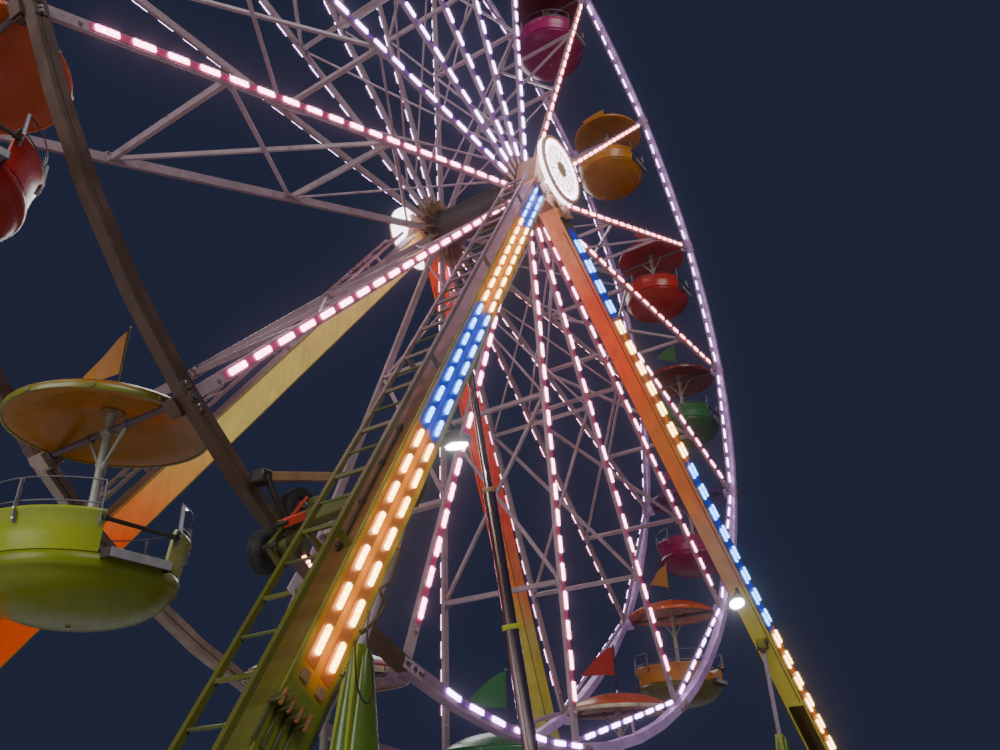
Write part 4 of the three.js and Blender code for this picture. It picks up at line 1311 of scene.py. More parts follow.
class FERRIS_OT_cabin_posts(bpy.types.Operator):
    """Axle, post, braces and flag pole of every cabin"""

    bl_idname = "ferris.cabin_posts"
    bl_label = "Cabin Posts"

    def template(self):
        bm = bmesh.new()
        rod(bm, (0, 0, FLOOR_Z - 0.005), (0, 0, 0.175), POST_RADIUS, 20, 0)
        rod(bm, (0, -AXLE_END, 0), (0, AXLE_END, 0), 0.026, 16, 4)
        inner = POST_RADIUS - 0.004
        lathe(bm, [(inner, FLOOR_Z - 0.003), (0.10, FLOOR_Z - 0.003), (0.10, FLOOR_Z + 0.012),
                   (0.06, FLOOR_Z + 0.03), (inner, FLOOR_Z + 0.09)], 20)
        sleeve = turned([(0.025, -0.05), (0.044, -0.05), (0.047, 0), (0.044, 0.05), (0.025, 0.05)], 20)
        stamp(bm, sleeve, ACROSS, 0)
        ring = turned([(0.024, -0.014), (0.048, -0.014), (0.050, 0), (0.048, 0.014), (0.024, 0.014)], 16)
        bolt = bolt_template(0.011, 0.014)
        for side in (NEAR, FAR):
            rod(bm, (0, side * 0.02, -0.31), (0, side * 0.245, -0.01), 0.014, 10, 0)
            rod(bm, (0, side * 0.02, -0.325), (0, side * 0.05, -0.27), 0.026, 10, 0, 0.004)
            low_sleeve = moved(0, side * 0.245, 0) @ ACROSS @ Matrix.Diagonal((0.82, 0.82, 0.4, 1))
            stamp(bm, sleeve, low_sleeve, 4)
            stamp(bm, ring, moved(0, side * 0.775, 0) @ ACROSS, 4)
            stamp(bm, bolt, facing((0, side * 0.775, 0.044), (1, 0, 0), (0, 0, 1)), 2)
        rod(bm, (0, 0, 0.255), (0, 0, 0.98), 0.014, 10, 3)
        ferrule = [(0.012, 0.262), (0.034, 0.266), (0.03, 0.29), (0.018, 0.33), (0.012, 0.33)]
        lathe(bm, ferrule, 14, index=1)
        knob = [(0, 0.964), (0.012, 0.966), (0.018, 0.98), (0.012, 0.994), (0, 0.997)]
        lathe(bm, knob, 12, index=1)
        return ready_mesh(bm, "cabin_post")

    def execute(self, context):
        template = self.template()
        for k in range(SPOKES):
            made = ("post_paint", "steel", "bolt", "dark_steel", "axle_paint")
            cabin_piece("cabin_post", k, template, made)
        return {"FINISHED"}


# Way a pennant points, in degrees, where it isn't the usual one
PENNANT_TURNS = {10: 95}


class FERRIS_OT_pennants(bpy.types.Operator):
    """Cloth pennant on every canopy"""

    bl_idname = "ferris.pennants"
    bl_label = "Pennants"

    foot = 0.54
    top_curve = 1.35

    def template(self, high, length):
        """A triangle of cloth with a level lower edge and a top edge that falls from the pole in a curve."""
        bm = bmesh.new()
        uv = bm.loops.layers.uv.new("map")
        bmesh.ops.create_grid(bm, x_segments=14, y_segments=8, size=0.5, calc_uvs=True)
        for vert in bm.verts:
            u, v = vert.co.x + 0.5, vert.co.y + 0.5
            tall = high * (1 - u ** self.top_curve)
            ripple = 0.022 * u * math.sin(u * 7.5 + v * 1.6)
            vert.co = Vector((0.014 + u * length, ripple, self.foot + tall * v - 0.04 * u * u))
        bmesh.ops.remove_doubles(bm, verts=bm.verts, dist=1e-5)
        for face in bm.faces:
            for loop in face.loops:
                loop[uv].uv = (loop.vert.co.x, loop.vert.co.z)
        return ready_mesh(bm, "pennant")

    def execute(self, context):
        cabins = settings().cabins
        high, length = cabins.pennant_height, cabins.pennant_length
        template = self.template(high, length)
        for k in range(SPOKES):
            angle = PENNANT_TURNS.get(k, 150 + 22 * math.sin(k * 2.4))
            turn = Matrix.Rotation(math.radians(angle), 4, "Z")
            cloth = cabin_piece("pennant", k, template, (f"cloth_{CABIN_SHADES[k][3]}",), False, turn)
        return {"FINISHED"}


# Legs, ladders and heads

class FERRIS_OT_leg_lamps(bpy.types.Operator):
    """Two rows of coloured lamps down the outer face of each leg"""

    bl_idname = "ferris.leg_lamps"
    bl_label = "Leg Lamps"

    lens_length, lens_width = 0.21, 0.038
    rows = (-0.5 * LEG_ROW_GAP, 0.5 * LEG_ROW_GAP)

    def execute(self, context):
        pitch = settings().lamps.pitch / math.sqrt(1 + LEG_SPLAY ** 2)
        lens = lamp_template(self.lens_length, self.lens_width, 0.03)
        for side, hand in legs():
            bm = bmesh.new()
            along, _inner, out = leg_axes(side, hand)
            reach = LEG_LAMP_START[hand]
            for tint, end in LEG_LAMP_BANDS[hand]:
                first = reach
                glass, back = (0, 1) if tint == "blue" else (2, 3)
                while reach + pitch <= end:
                    for row in self.rows:
                        spot = leg_point(side, hand, reach + pitch / 2, row, LEG_HALF_DEEP)
                        stamp(bm, lens, facing(spot + out * 0.009, along, out), glass)
                    reach += pitch
                for row in self.rows:
                    ends = leg_line(side, hand, first, reach, row, LEG_HALF_DEEP)
                    bar(bm, *(spot + out * 0.005 for spot in ends), 0.086, 0.01, out, back)
            name = f"{SIDES[side]}_{HANDS[hand]}"
            made = ("lamp_blue", "channel_blue", "lamp_warm", "channel_warm")
            make_piece(f"leg_lamps_{name}", bm, made, f"leg_{name}")
        return {"FINISHED"}


class FERRIS_OT_leg_fittings(bpy.types.Operator):
    """Sheets of painted shade and lamp light, edge seams, feet and painted-shade hollow linings of the legs,
    and the hooks on the near left leg
    """

    bl_idname = "ferris.leg_fittings"
    bl_label = "Leg Fittings"

    reach = (0.66, 11.2)
    hollow = (8.79, 11.0)
    cover = 0.004
    hooks_at = 10.06

    def foot(self, bm, side, hand):
        """Shoe plates and a pin where a leg stands on the base."""
        base = (HUB.z + APEX_RISE - BEAM_TOP - 0.12) / LEG_COS
        out = leg_axes(side, hand)[2]
        for face in (-1, 1):
            ends = leg_line(side, hand, base - 0.32, base + 0.12, 0, face * (LEG_HALF_DEEP + 0.012))
            bar(bm, *ends, 0.26, 0.022, out, 2, 0.006)
        centre = leg_point(side, hand, base - 0.06)
        half = Vector((0, LEG_HALF_DEEP + 0.06, 0))
        rod(bm, centre - half, centre + half, 0.04, 16, 3, 0.006)

    def edge_seams(self, bm, side, hand):
        """Thin dark edges where the side plates meet the leg's faces."""
        out = leg_axes(side, hand)[2]
        for edge in (-1, 1):
            for face in (-1, 1):
                place = (edge * (LEG_HALF_WIDE - 0.006), face * (LEG_HALF_DEEP + 0.003))
                bar(bm, *leg_line(side, hand, *self.reach, *place), 0.014, 0.012, out, 0, 0.002)

    def hollow_shade(self, bm, side, hand):
        """A dark sheet lining the hollow that opens to the inner side low on a leg: painted shade."""
        _along, inner, out = leg_axes(side, hand)
        depth = LEG_HALF_DEEP - LEG_WALL - self.cover
        back = -LEG_HALF_WIDE + LEG_WALL + self.cover
        bar(bm, *leg_line(side, hand, *self.hollow, back), 2 * depth, 0.006, inner, 4)
        for face in (-1, 1):
            ends = leg_line(side, hand, *self.hollow, LEG_WALL / 2, face * depth)
            bar(bm, *ends, 2 * LEG_HALF_WIDE - LEG_WALL - 0.01, 0.006, out, 4)

    def shade_covers(self, bm, side, hand):
        """A thin sheet of painted shade down the outer face of a right leg, with the lamp rows' light painted
        on, or down the outer side of a left one, with pink painted lamp light high up.
        """
        _along, inner, out = leg_axes(side, hand)
        if hand == RIGHT:
            ends = leg_line(side, hand, *self.reach, 0, LEG_HALF_DEEP + self.cover / 2)
            bar(bm, *ends, 2 * LEG_HALF_WIDE - 0.03, self.cover, out, 1)
            ends = leg_line(side, hand, 0.9, 8.7, LEG_HALF_WIDE + 0.003, 0.095)
            bar(bm, *ends, 0.012, 0.006, inner, 0)
        else:
            ends = leg_line(side, hand, *self.reach, -LEG_HALF_WIDE - self.cover / 2)
            bar(bm, *ends, 2 * LEG_HALF_DEEP - 0.03, self.cover, inner, 5)

    def execute(self, context):
        for side, hand in legs():
            bm = bmesh.new()
            self.edge_seams(bm, side, hand)
            self.foot(bm, side, hand)
            self.hollow_shade(bm, side, hand)
            self.shade_covers(bm, side, hand)
            name = f"{SIDES[side]}_{HANDS[hand]}"
            seam = "seam_paint" if hand == RIGHT else "olive_paint"
            made = (seam, f"lamp_face_{SIDES[side]}", "lime_paint", "dark_steel", "hollow_paint", "leg_side")
            make_piece(f"leg_fittings_{name}", bm, made, f"leg_{name}")
        self.hooks()
        return {"FINISHED"}

    def hooks(self):
        """Four upright fins in a row across the near left leg, and end plates under its lamp rows."""
        bm = bmesh.new()
        along, inner, out = leg_axes(NEAR, LEFT)
        for i in range(4):
            spot = leg_point(NEAR, LEFT, self.hooks_at, -0.195 + i * 0.07, LEG_HALF_DEEP)
            bar(bm, spot - out * 0.002, spot + out * 0.09, 0.10, 0.014, along.cross(inner), 0, 0.003)
            tip = spot + out * 0.082
            bar(bm, tip - along * 0.04, tip + along * 0.06, 0.022, 0.02, out, 1, 0.003)
            low = spot + out * 0.01
            bar(bm, low, low + along * 0.25, 0.03, 0.02, out, 0, 0.004)
            pad = spot + inner * 0.032 - along * 0.02
            bar(bm, pad, pad + out * 0.05, 0.035, 0.045, along, 2, 0.004)
        rows_end = LEG_LAMP_BANDS[LEFT][-1][1] - 0.02
        for row in (-0.5, 0.5):
            spot = leg_point(NEAR, LEFT, rows_end, row * LEG_ROW_GAP, LEG_HALF_DEEP + 0.01)
            bar(bm, spot, spot + along * 0.07, 0.06, 0.026, out, 3, 0.005)
        made = ("dark_olive_paint", "rusty_paint", "dark_steel", "gold_paint")
        make_piece("leg_hooks", bm, made, "leg_near_left")


class FERRIS_OT_ladders(bpy.types.Operator):
    """The ladders' rungs and top brackets, and the plate and conduit beside the near ladder"""

    bl_idname = "ferris.ladders"
    bl_label = "Ladders"

    first_rung, pitch, count = 1.35, 0.6, 17
    plate_at = 9.35
    conduit = (-LEG_HALF_WIDE - 0.02, 0.05)

    def rungs(self, side):
        bm = bmesh.new()
        out = leg_axes(side, LEFT)[2]
        for i in range(self.count):
            at = self.first_rung + i * self.pitch
            ends = [leg_point(side, LEFT, at, LADDER_INWARD, edge * LADDER_HALF) for edge in (-1, 1)]
            rod(bm, *ends, 0.011, 8, 0)
        for edge in (-1, 1):
            low = leg_point(side, LEFT, 10.9, LADDER_INWARD, edge * LADDER_HALF)
            foot = leg_point(side, LEFT, 11.15, -LEG_HALF_WIDE - 0.01, edge * (LEG_HALF_DEEP - 0.03))
            bar(bm, low, foot, 0.045, 0.02, out, 1, 0.004)
        # The rungs' dark olive is painted shade
        made = ("dark_olive_paint", "lime_paint")
        make_piece(f"ladder_rungs_{SIDES[side]}", bm, made, f"ladder_{SIDES[side]}")

    def side_fittings(self):
        """A blank plate on the near ladder, and a clipped conduit between it and the leg."""
        bm = bmesh.new()
        along, _inner, out = leg_axes(NEAR, LEFT)
        top = leg_point(NEAR, LEFT, self.plate_at, LADDER_INWARD - 0.025, LADDER_HALF - 0.055)
        bar(bm, top, top + along * 0.14, 0.08, 0.008, out, 0, 0.003)
        rod(bm, *leg_line(NEAR, LEFT, 7.4, 8.9, *self.conduit), 0.012, 10, 1)
        for i in range(4):
            spot = leg_point(NEAR, LEFT, 7.45 + i * 0.46, *self.conduit)
            bar(bm, spot, spot + along * 0.045, 0.05, 0.04, out, 1, 0.004)
        make_piece("ladder_side_fittings", bm, ("blank_plate", "dark_steel"), "leg_near_left")

    def execute(self, context):
        for side in (NEAR, FAR):
            self.rungs(side)
        self.side_fittings()
        return {"FINISHED"}


class FERRIS_OT_heads(bpy.types.Operator):
    """Bearing housings, gussets and joint pins at the leg tops"""

    bl_idname = "ferris.heads"
    bl_label = "Heads"

    housing = ((0.088, 0.0), (0.19, 0.0), (0.19, 0.035), (0.17, 0.05), (0.12, 0.055), (0.12, 0.075),
               (0.088, 0.075))
    outer = LEG_APEX_Y + LEG_HALF_DEEP + 0.055

    def gusset(self, bm, side, hand, bolt):
        """A bolted plate where one leg meets the head, and the joint's pin."""
        ends = leg_line(side, hand, 0.30, 0.72, -0.02, LEG_HALF_DEEP + 0.06)
        bar(bm, *ends, 0.30, 0.02, (0, side, 0), 0, 0.005)
        for at in (0.36, 0.50, 0.64):
            for inward in (-0.10, 0.08):
                spot = leg_point(side, hand, at, inward, LEG_HALF_DEEP + 0.071)
                stamp(bm, bolt, facing(spot, (0, 0, 1), (0, side, 0)), 1)
        low = HUB + Vector((hand * 0.26, side * (self.outer - 0.03), 0.36))
        rod(bm, low, low + Vector((0, side * 0.10, 0.0)), 0.03, 12, 2, 0.004)

    def execute(self, context):
        bolt = bolt_template(0.018, 0.024)
        outer = self.outer
        for side in (NEAR, FAR):
            bm = bmesh.new()
            lathe(bm, self.housing, 32, moved(HUB + Vector((0, side * outer, 0))) @ out_of(side), 0)
            for angle in ring_of(8, 0.2):
                spot = HUB + on_circle(0.155, angle, side * (outer + 0.045))
                stamp(bm, bolt, facing(spot, (1, 0, 0), (0, side, 0)), 1)
            for hand in (LEFT, RIGHT):
                self.gusset(bm, side, hand, bolt)
            eye = moved(HUB + Vector((0, side * LEG_APEX_Y, 0.47)))
            stamp(bm, hoop(0.06, 0.016, 16), eye @ ACROSS, 2)
            ends = [HUB + Vector((x, side * (outer + 0.008), 0.22)) for x in (-0.20, 0.20)]
            bar(bm, *ends, 0.05, 0.016, (0, 1, 0), 0, 0.004)
            ends = [HUB + Vector((0, side * y, 0)) for y in (outer + 0.02, SHAFT_END + 0.012)]
            rod(bm, *ends, 0.089, 24, 2, 0.008)
            name = SIDES[side]
            make_piece(f"head_fittings_{name}", bm, ("gold_paint", "bolt", "steel"), f"bearing_head_{name}")
        return {"FINISHED"}


class FERRIS_OT_medallions(bpy.types.Operator):
    """Rim, ribs and small lamps of the plain round medallions"""

    bl_idname = "ferris.medallions"
    bl_label = "Medallions"

    rim = ((-0.05, 0.0), (-0.045, 0.018), (-0.012, 0.022), (0.004, 0.012), (0.004, -0.02), (-0.008, -0.02),
           (-0.008, -0.004), (-0.05, -0.004))
    boss = ((0, -0.002), (0.13, -0.002), (0.13, 0.012), (0.11, 0.022), (0.05, 0.03), (0, 0.032))
    bead = ((0, -0.001), (0.017, -0.001), (0.015, 0.010), (0.008, 0.016), (0, 0.018))
    bead_circle = 0.455
    bolt_circle = MEDALLION_RADIUS - 0.028

    def execute(self, context):
        centre = Vector((0, 0, MEDALLION_Z))
        bead = turned(self.bead, 8)
        bolt = bolt_template(0.012, 0.012)
        rib = bmesh.new()
        bar(rib, (0.14, 0, 0.003), (0.345, 0, 0.003), 0.012, 0.014, (0, 0, 1), 0, 0.002)
        rib = ready_mesh(rib, "rib")
        for side in (NEAR, FAR):
            bm = bmesh.new()
            place = moved(centre + Vector((0, side * MEDALLION_FACE, 0))) @ out_of(side)
            lathe(bm, [(MEDALLION_RADIUS + r, z) for r, z in self.rim], 56, place, 0)
            lathe(bm, self.boss, 36, place, 0)
            stamp(bm, hoop(0.36, 0.008, 48, sides=6), place, 0)
            for angle in ring_of(32):
                spot = moved(self.bead_circle * math.cos(angle), self.bead_circle * math.sin(angle), 0)
                stamp(bm, bead, place @ spot, 1)
            for angle in ring_of(12):
                stamp(bm, rib, place @ Matrix.Rotation(angle, 4, "Z"), None)
            for angle in ring_of(8, 0.2):
                spot = moved(self.bolt_circle * math.cos(angle), self.bolt_circle * math.sin(angle), 0.019)
                stamp(bm, bolt, place @ spot, 2)
            spot = centre + Vector((-0.25, side * (MEDALLION_FACE - 0.16), 0.10))
            rod(bm, spot, spot + Vector((0, side * 0.05, 0)), 0.05, 14, 3, 0.006)
            rod(bm, spot + Vector((0, -side * 0.015, 0)), spot, 0.043, 14, 1)
            made = ("amber_trim", "lamp_violet", "bolt", "grey_paint")
            make_piece(f"medallion_trim_{SIDES[side]}", bm, made, f"medallion_{SIDES[side]}")
        return {"FINISHED"}


class FERRIS_OT_floodlights(bpy.types.Operator):
    """Two floodlights on the near legs"""

    bl_idname = "ferris.floodlights"
    bl_label = "Floodlights"

    def execute(self, context):
        for hand, at, reach in ((LEFT, 6.72, 0.27), (RIGHT, 6.95, 0.24)):
            bm = bmesh.new()
            along, inner, _out = leg_axes(NEAR, hand)
            hint = Vector((1, 0, 0)) if hand == LEFT else along
            root = leg_point(NEAR, hand, at, LEG_HALF_WIDE)
            centre = root + inner * reach
            look = Vector((0.15, 0, -1)) if hand == LEFT else inner - Vector((0, 0.35, 0.25))
            look.normalize()
            back = centre - look * 0.05
            bar(bm, back, centre + look * 0.04, 0.24, 0.17, hint, 0, 0.02)
            oval = Matrix.Diagonal((1.1, 0.8, 1.0, 1.0))
            lens = [(0, 0), (0.09, 0), (0.098, 0.006), (0.09, 0.018), (0, 0.022)]
            lathe(bm, lens, 24, moved(centre + look * 0.038) @ basis(look, hint) @ oval, 1)
            for i in range(5):
                fin = back - look * 0.018 + hint * (i - 2) * 0.035
                bar(bm, fin, fin + look * 0.03, 0.012, 0.15, hint.cross(look), 0)
            for end in (-1, 1):
                rod(bm, root + along * end * 0.10, centre + hint * end * 0.095 * hand, 0.010, 8, 2)
            bar(bm, root - along * 0.13, root + along * 0.13, 0.05, 0.014, inner, 2, 0.003)
            name = HANDS[hand]
            make_piece(f"floodlight_{name}", bm, ("grey_paint", "flood", "dark_steel"), f"leg_near_{name}")
        return {"FINISHED"}


# Base, struts, raising cylinder, drive and deck

class FERRIS_OT_base(bpy.types.Operator):
    """Flanges, bolts and jack screws on the base frame"""

    bl_idname = "ferris.base"
    bl_label = "Base"

    inner_end = CROSS_X - 0.23
    flange_heights = (0.172, BEAM_TOP - 0.012)
    stiffener_ends = (0.18, BEAM_TOP - 0.02)
    thread = ((0, 0.05), (0.062, 0.05), (0.062, 0.06), (0.13, 0.062), (0.13, 0.075), (0.07, 0.085),
              (0, 0.085))

    def beam(self, bm, bolt, side):
        """Flanges, stiffeners, end plates and jacks of one long beam."""
        y = side * SIDE_Y
        end = self.inner_end
        for z in self.flange_heights:
            for edge in (y - 0.127, y + 0.127):
                block(bm, (-end, edge - 0.009, z - 0.012), (end, edge + 0.009, z + 0.012), 0, 0.003)
        low, high = self.stiffener_ends
        for i in range(15):
            x = -end + 0.35 + i * (2 * end - 0.7) / 14
            for edge in (y - 0.124, y + 0.124):
                block(bm, (x - 0.008, edge - 0.012, low), (x + 0.008, edge + 0.012, high), 0)
        for hand in (LEFT, RIGHT):
            x = hand * (end - 0.02)
            block(bm, (x - 0.016, y - 0.17, 0.17), (x + 0.016, y + 0.17, BEAM_TOP), 0, 0.004)
            for dy in (-0.14, 0.14):
                for z in (0.23, 0.33, 0.43):
                    stamp(bm, bolt, facing((x - hand * 0.016, y + dy, z), (0, 1, 0), (-hand, 0, 0)), 1)
            self.jack(bm, bolt, hand * 4.4, y, 0.2)

    def cross_beam(self, bm, bolt, hand):
        """Flanges, stiffeners and jacks of one end beam, on its outer face."""
        for side in (NEAR, FAR):
            self.jack(bm, bolt, hand * CROSS_X, side * 2.79, 0.26)
        edge = hand * (CROSS_X + 0.235)
        for z in self.flange_heights:
            block(bm, (edge - 0.009, -3.04, z - 0.012), (edge + 0.009, 3.04, z + 0.012), 0, 0.003)
        low, high = self.stiffener_ends
        edge = hand * (CROSS_X + 0.232)
        for i in range(9):
            y = -2.8 + i * 0.7
            block(bm, (edge - 0.010, y - 0.008, low), (edge + 0.010, y + 0.008, high), 0)

    def jack(self, bm, bolt, x, y, half):
        """A threaded jack with its nut and the bolts of its foot plate."""
        lathe(bm, self.thread, 20, moved(x, y, 0), 3)
        for dx in (-1, 1):
            for dy in (-1, 1):
                stamp(bm, bolt, moved(x + dx * (half - 0.05), y + dy * (half - 0.05), 0.06), 1)
            bar(bm, (x + dx * 0.07, y, 0.10), (x + dx * (half - 0.03), y, 0.062), 0.012, 0.10, (1, 0, 0), 0)

    def execute(self, context):
        bolt = bolt_template(0.02, 0.026)
        bm = bmesh.new()
        for side in (NEAR, FAR):
            self.beam(bm, bolt, side)
        for hand in (LEFT, RIGHT):
            self.cross_beam(bm, bolt, hand)
        made = ("lime_paint", "bolt", "polished", "dark_steel")
        make_piece("base_fittings", bm, made, "base_beam_near")
        return {"FINISHED"}


class FERRIS_OT_struts(bpy.types.Operator):
    """Housings, rods and clevises of the near struts"""

    bl_idname = "ferris.struts"
    bl_label = "Struts"

    outline = ((0.0, 0.50), (0.40, 0.50), (0.345, 0.80), (0.275, 1.20), (0.215, 1.60), (0.164, 2.00),
               (0.105, 2.35), (0.066, 2.60), (0.030, 2.655), (0.0, 2.665))

    def boot(self, bm, foot, scale):
        """A wide soft cover that narrows from the base beam to the rod, oval in plan."""
        oval = Matrix.Diagonal((1.0, 0.6, 1.0, 1.0))
        lathe(bm, [(r * scale, z) for r, z in self.outline], 32, moved(foot) @ oval, 0)

    def execute(self, context):
        for hand in (LEFT, RIGHT):
            bm = bmesh.new()
            post = Vector((hand * STRUT.x, -STRUT.y, STRUT.z))
            tip = leg_point(NEAR, hand, STRUT_ALONG, LEG_HALF_WIDE + 0.055)
            way = (tip - post).normalized()
            foot = Vector((post.x, post.y, 0))
            self.boot(bm, foot, 1.0)
            self.boot(bm, foot + Vector((hand * -0.01, -0.08, -0.04)), 0.8)
            rod(bm, post - Vector((0, 0, 0.06)), tip, 0.033, 18, 1)
            for face in (-1, 1):
                shift = Vector((0, face * 0.066, 0))
                bar(bm, tip - way * 0.10 + shift, tip + way * 0.06 + shift, 0.09, 0.018, (0, 1, 0), 2, 0.004)
            rod(bm, tip - Vector((0, 0.09, 0)), tip + Vector((0, 0.09, 0)), 0.022, 12, 2, 0.003)
            bar(bm, tip - way * 0.13, tip - way * 0.06, 0.15, 0.06, (0, 1, 0), 2, 0.006)
            made = ("boot_cover", "rod_steel", "dark_steel")
            make_piece(f"strut_{HANDS[hand]}", bm, made, "base_beam_near")
        return {"FINISHED"}


class FERRIS_OT_raising_cylinder(bpy.types.Operator):
    """Telescopic raising cylinder with its bands, clevis and foot"""

    bl_idname = "ferris.raising_cylinder"
    bl_label = "Raising Cylinder"

    stages = ((0.02, 0.51, 0.068), (0.50, 0.75, 0.060), (0.74, 0.985, 0.036))
    glands = ((0.508, 0.080, 1), (0.75, 0.070, 2), (0.06, 0.078, 3))

    def execute(self, context):
        top = leg_point(NEAR, LEFT, LIFT_ALONG, LEG_HALF_WIDE + 0.055)
        way = top - LIFT_FOOT
        turn = basis(way, (0, 1, 0))
        along, inner, out = leg_axes(NEAR, LEFT)
        bm = bmesh.new()
        for low, high, radius in self.stages:
            rod(bm, LIFT_FOOT + way * low, LIFT_FOOT + way * high, radius, 32, 0, 0.003)
        for at, radius, index in self.glands:
            gland = [(0.03, -0.022), (radius - 0.006, -0.022), (radius, -0.016), (radius, 0.016),
                     (radius - 0.006, 0.022), (0.03, 0.022)]
            lathe(bm, gland, 28, moved(LIFT_FOOT + way * at) @ turn, index)
        x, y, z = LIFT_FOOT
        block(bm, (x - 0.115, y - 0.095, z - 0.049), (x + 0.115, y + 0.095, z - 0.02), 4, 0.005)
        for face in (-1, 1):
            edge = y + face * 0.075
            block(bm, (x - 0.09, edge - 0.014, 0.502), (x + 0.09, edge + 0.014, 0.68), 4, 0.01)
            shift = out * face * 0.05
            bar(bm, top - inner * 0.054 + shift, top + inner * 0.055 + shift, 0.02, 0.10, along, 4, 0.005)
        rod(bm, (x, y - 0.10, z + 0.06), (x, y + 0.10, z + 0.06), 0.028, 14, 3, 0.004)
        rod(bm, top - out * 0.075, top + out * 0.075, 0.02, 12, 3, 0.003)
        rod(bm, top - out * 0.03, top + out * 0.03, 0.045, 18, 3, 0.004)
        made = ("tinted_steel", "yellow_paint", "gold_paint", "dark_steel", "lime_paint")
        make_piece("raising_cylinder", bm, made, "lift_cylinder", "structure", ("lift_cylinder",))
        return {"FINISHED"}


TYRE_RIM_GAP = 0.005


def tyre_centres():
    """Middle points of the outer and inner drive tyres."""
    flat = RIM_INNER * math.cos(STEP / 8)
    return {
        "outer": HUB + on_circle(RIM_OUTER + TYRE_RIM_GAP + TYRE_RADIUS, DRIVE_ANGLE, TYRE_Y),
        "inner": HUB + on_circle(flat - TYRE_RIM_GAP - TYRE_RADIUS, DRIVE_ANGLE, TYRE_Y),
    }


class FERRIS_OT_tyres(bpy.types.Operator):
    """The two drive tyres with tread, hubs and nuts"""

    bl_idname = "ferris.tyres"
    bl_label = "Drive Tyres"

    disc = ((0, -0.046), (0.085, -0.046), (0.094, -0.054), (0.096, -0.046), (0.096, 0.046), (0.094, 0.054),
            (0.07, 0.03), (0, 0.03))
    ribs = ((-0.044, -0.028), (-0.023, -0.004), (0.004, 0.023), (0.028, 0.044))

    def tyre(self):
        half = TYRE_HALF
        groove = TYRE_RADIUS - 0.005
        tread = []
        for low, high in self.ribs:
            tread += [(groove, low - 0.002), (TYRE_RADIUS, low), (TYRE_RADIUS, high), (groove, high + 0.002)]
        return turned([(0.088, -half * 0.8), (0.11, -half), (0.155, -half), *tread,
                       (0.155, half), (0.11, half), (0.088, half * 0.8)], 40)

    def execute(self, context):
        tyre = self.tyre()
        nut = bolt_template(0.009, 0.012)
        for name, centre in tyre_centres().items():
            bm = bmesh.new()
            place = moved(centre) @ ACROSS
            stamp(bm, tyre, place, 0)
            lathe(bm, self.disc, 28, place, 1)
            rod(bm, centre, Vector((centre.x, ARM_Y - 0.012, centre.z)), 0.0295, 18, 2)
            for angle in ring_of(5):
                spot = centre + on_circle(0.052, angle, -0.046)
                stamp(bm, nut, facing(spot, (1, 0, 0), (0, -1, 0)), 2)
                stamp(bm, nut, facing(spot + Vector((0, 0.076, 0)), (1, 0, 0), (0, 1, 0)), 2)
            node = f"drive_tyre_{name}"
            made = ("rubber", "dark_paint", "steel")
            make_piece(f"tyre_wheel_{name}", bm, made, node, f"tyre_{name}", (node,))
        return {"FINISHED"}


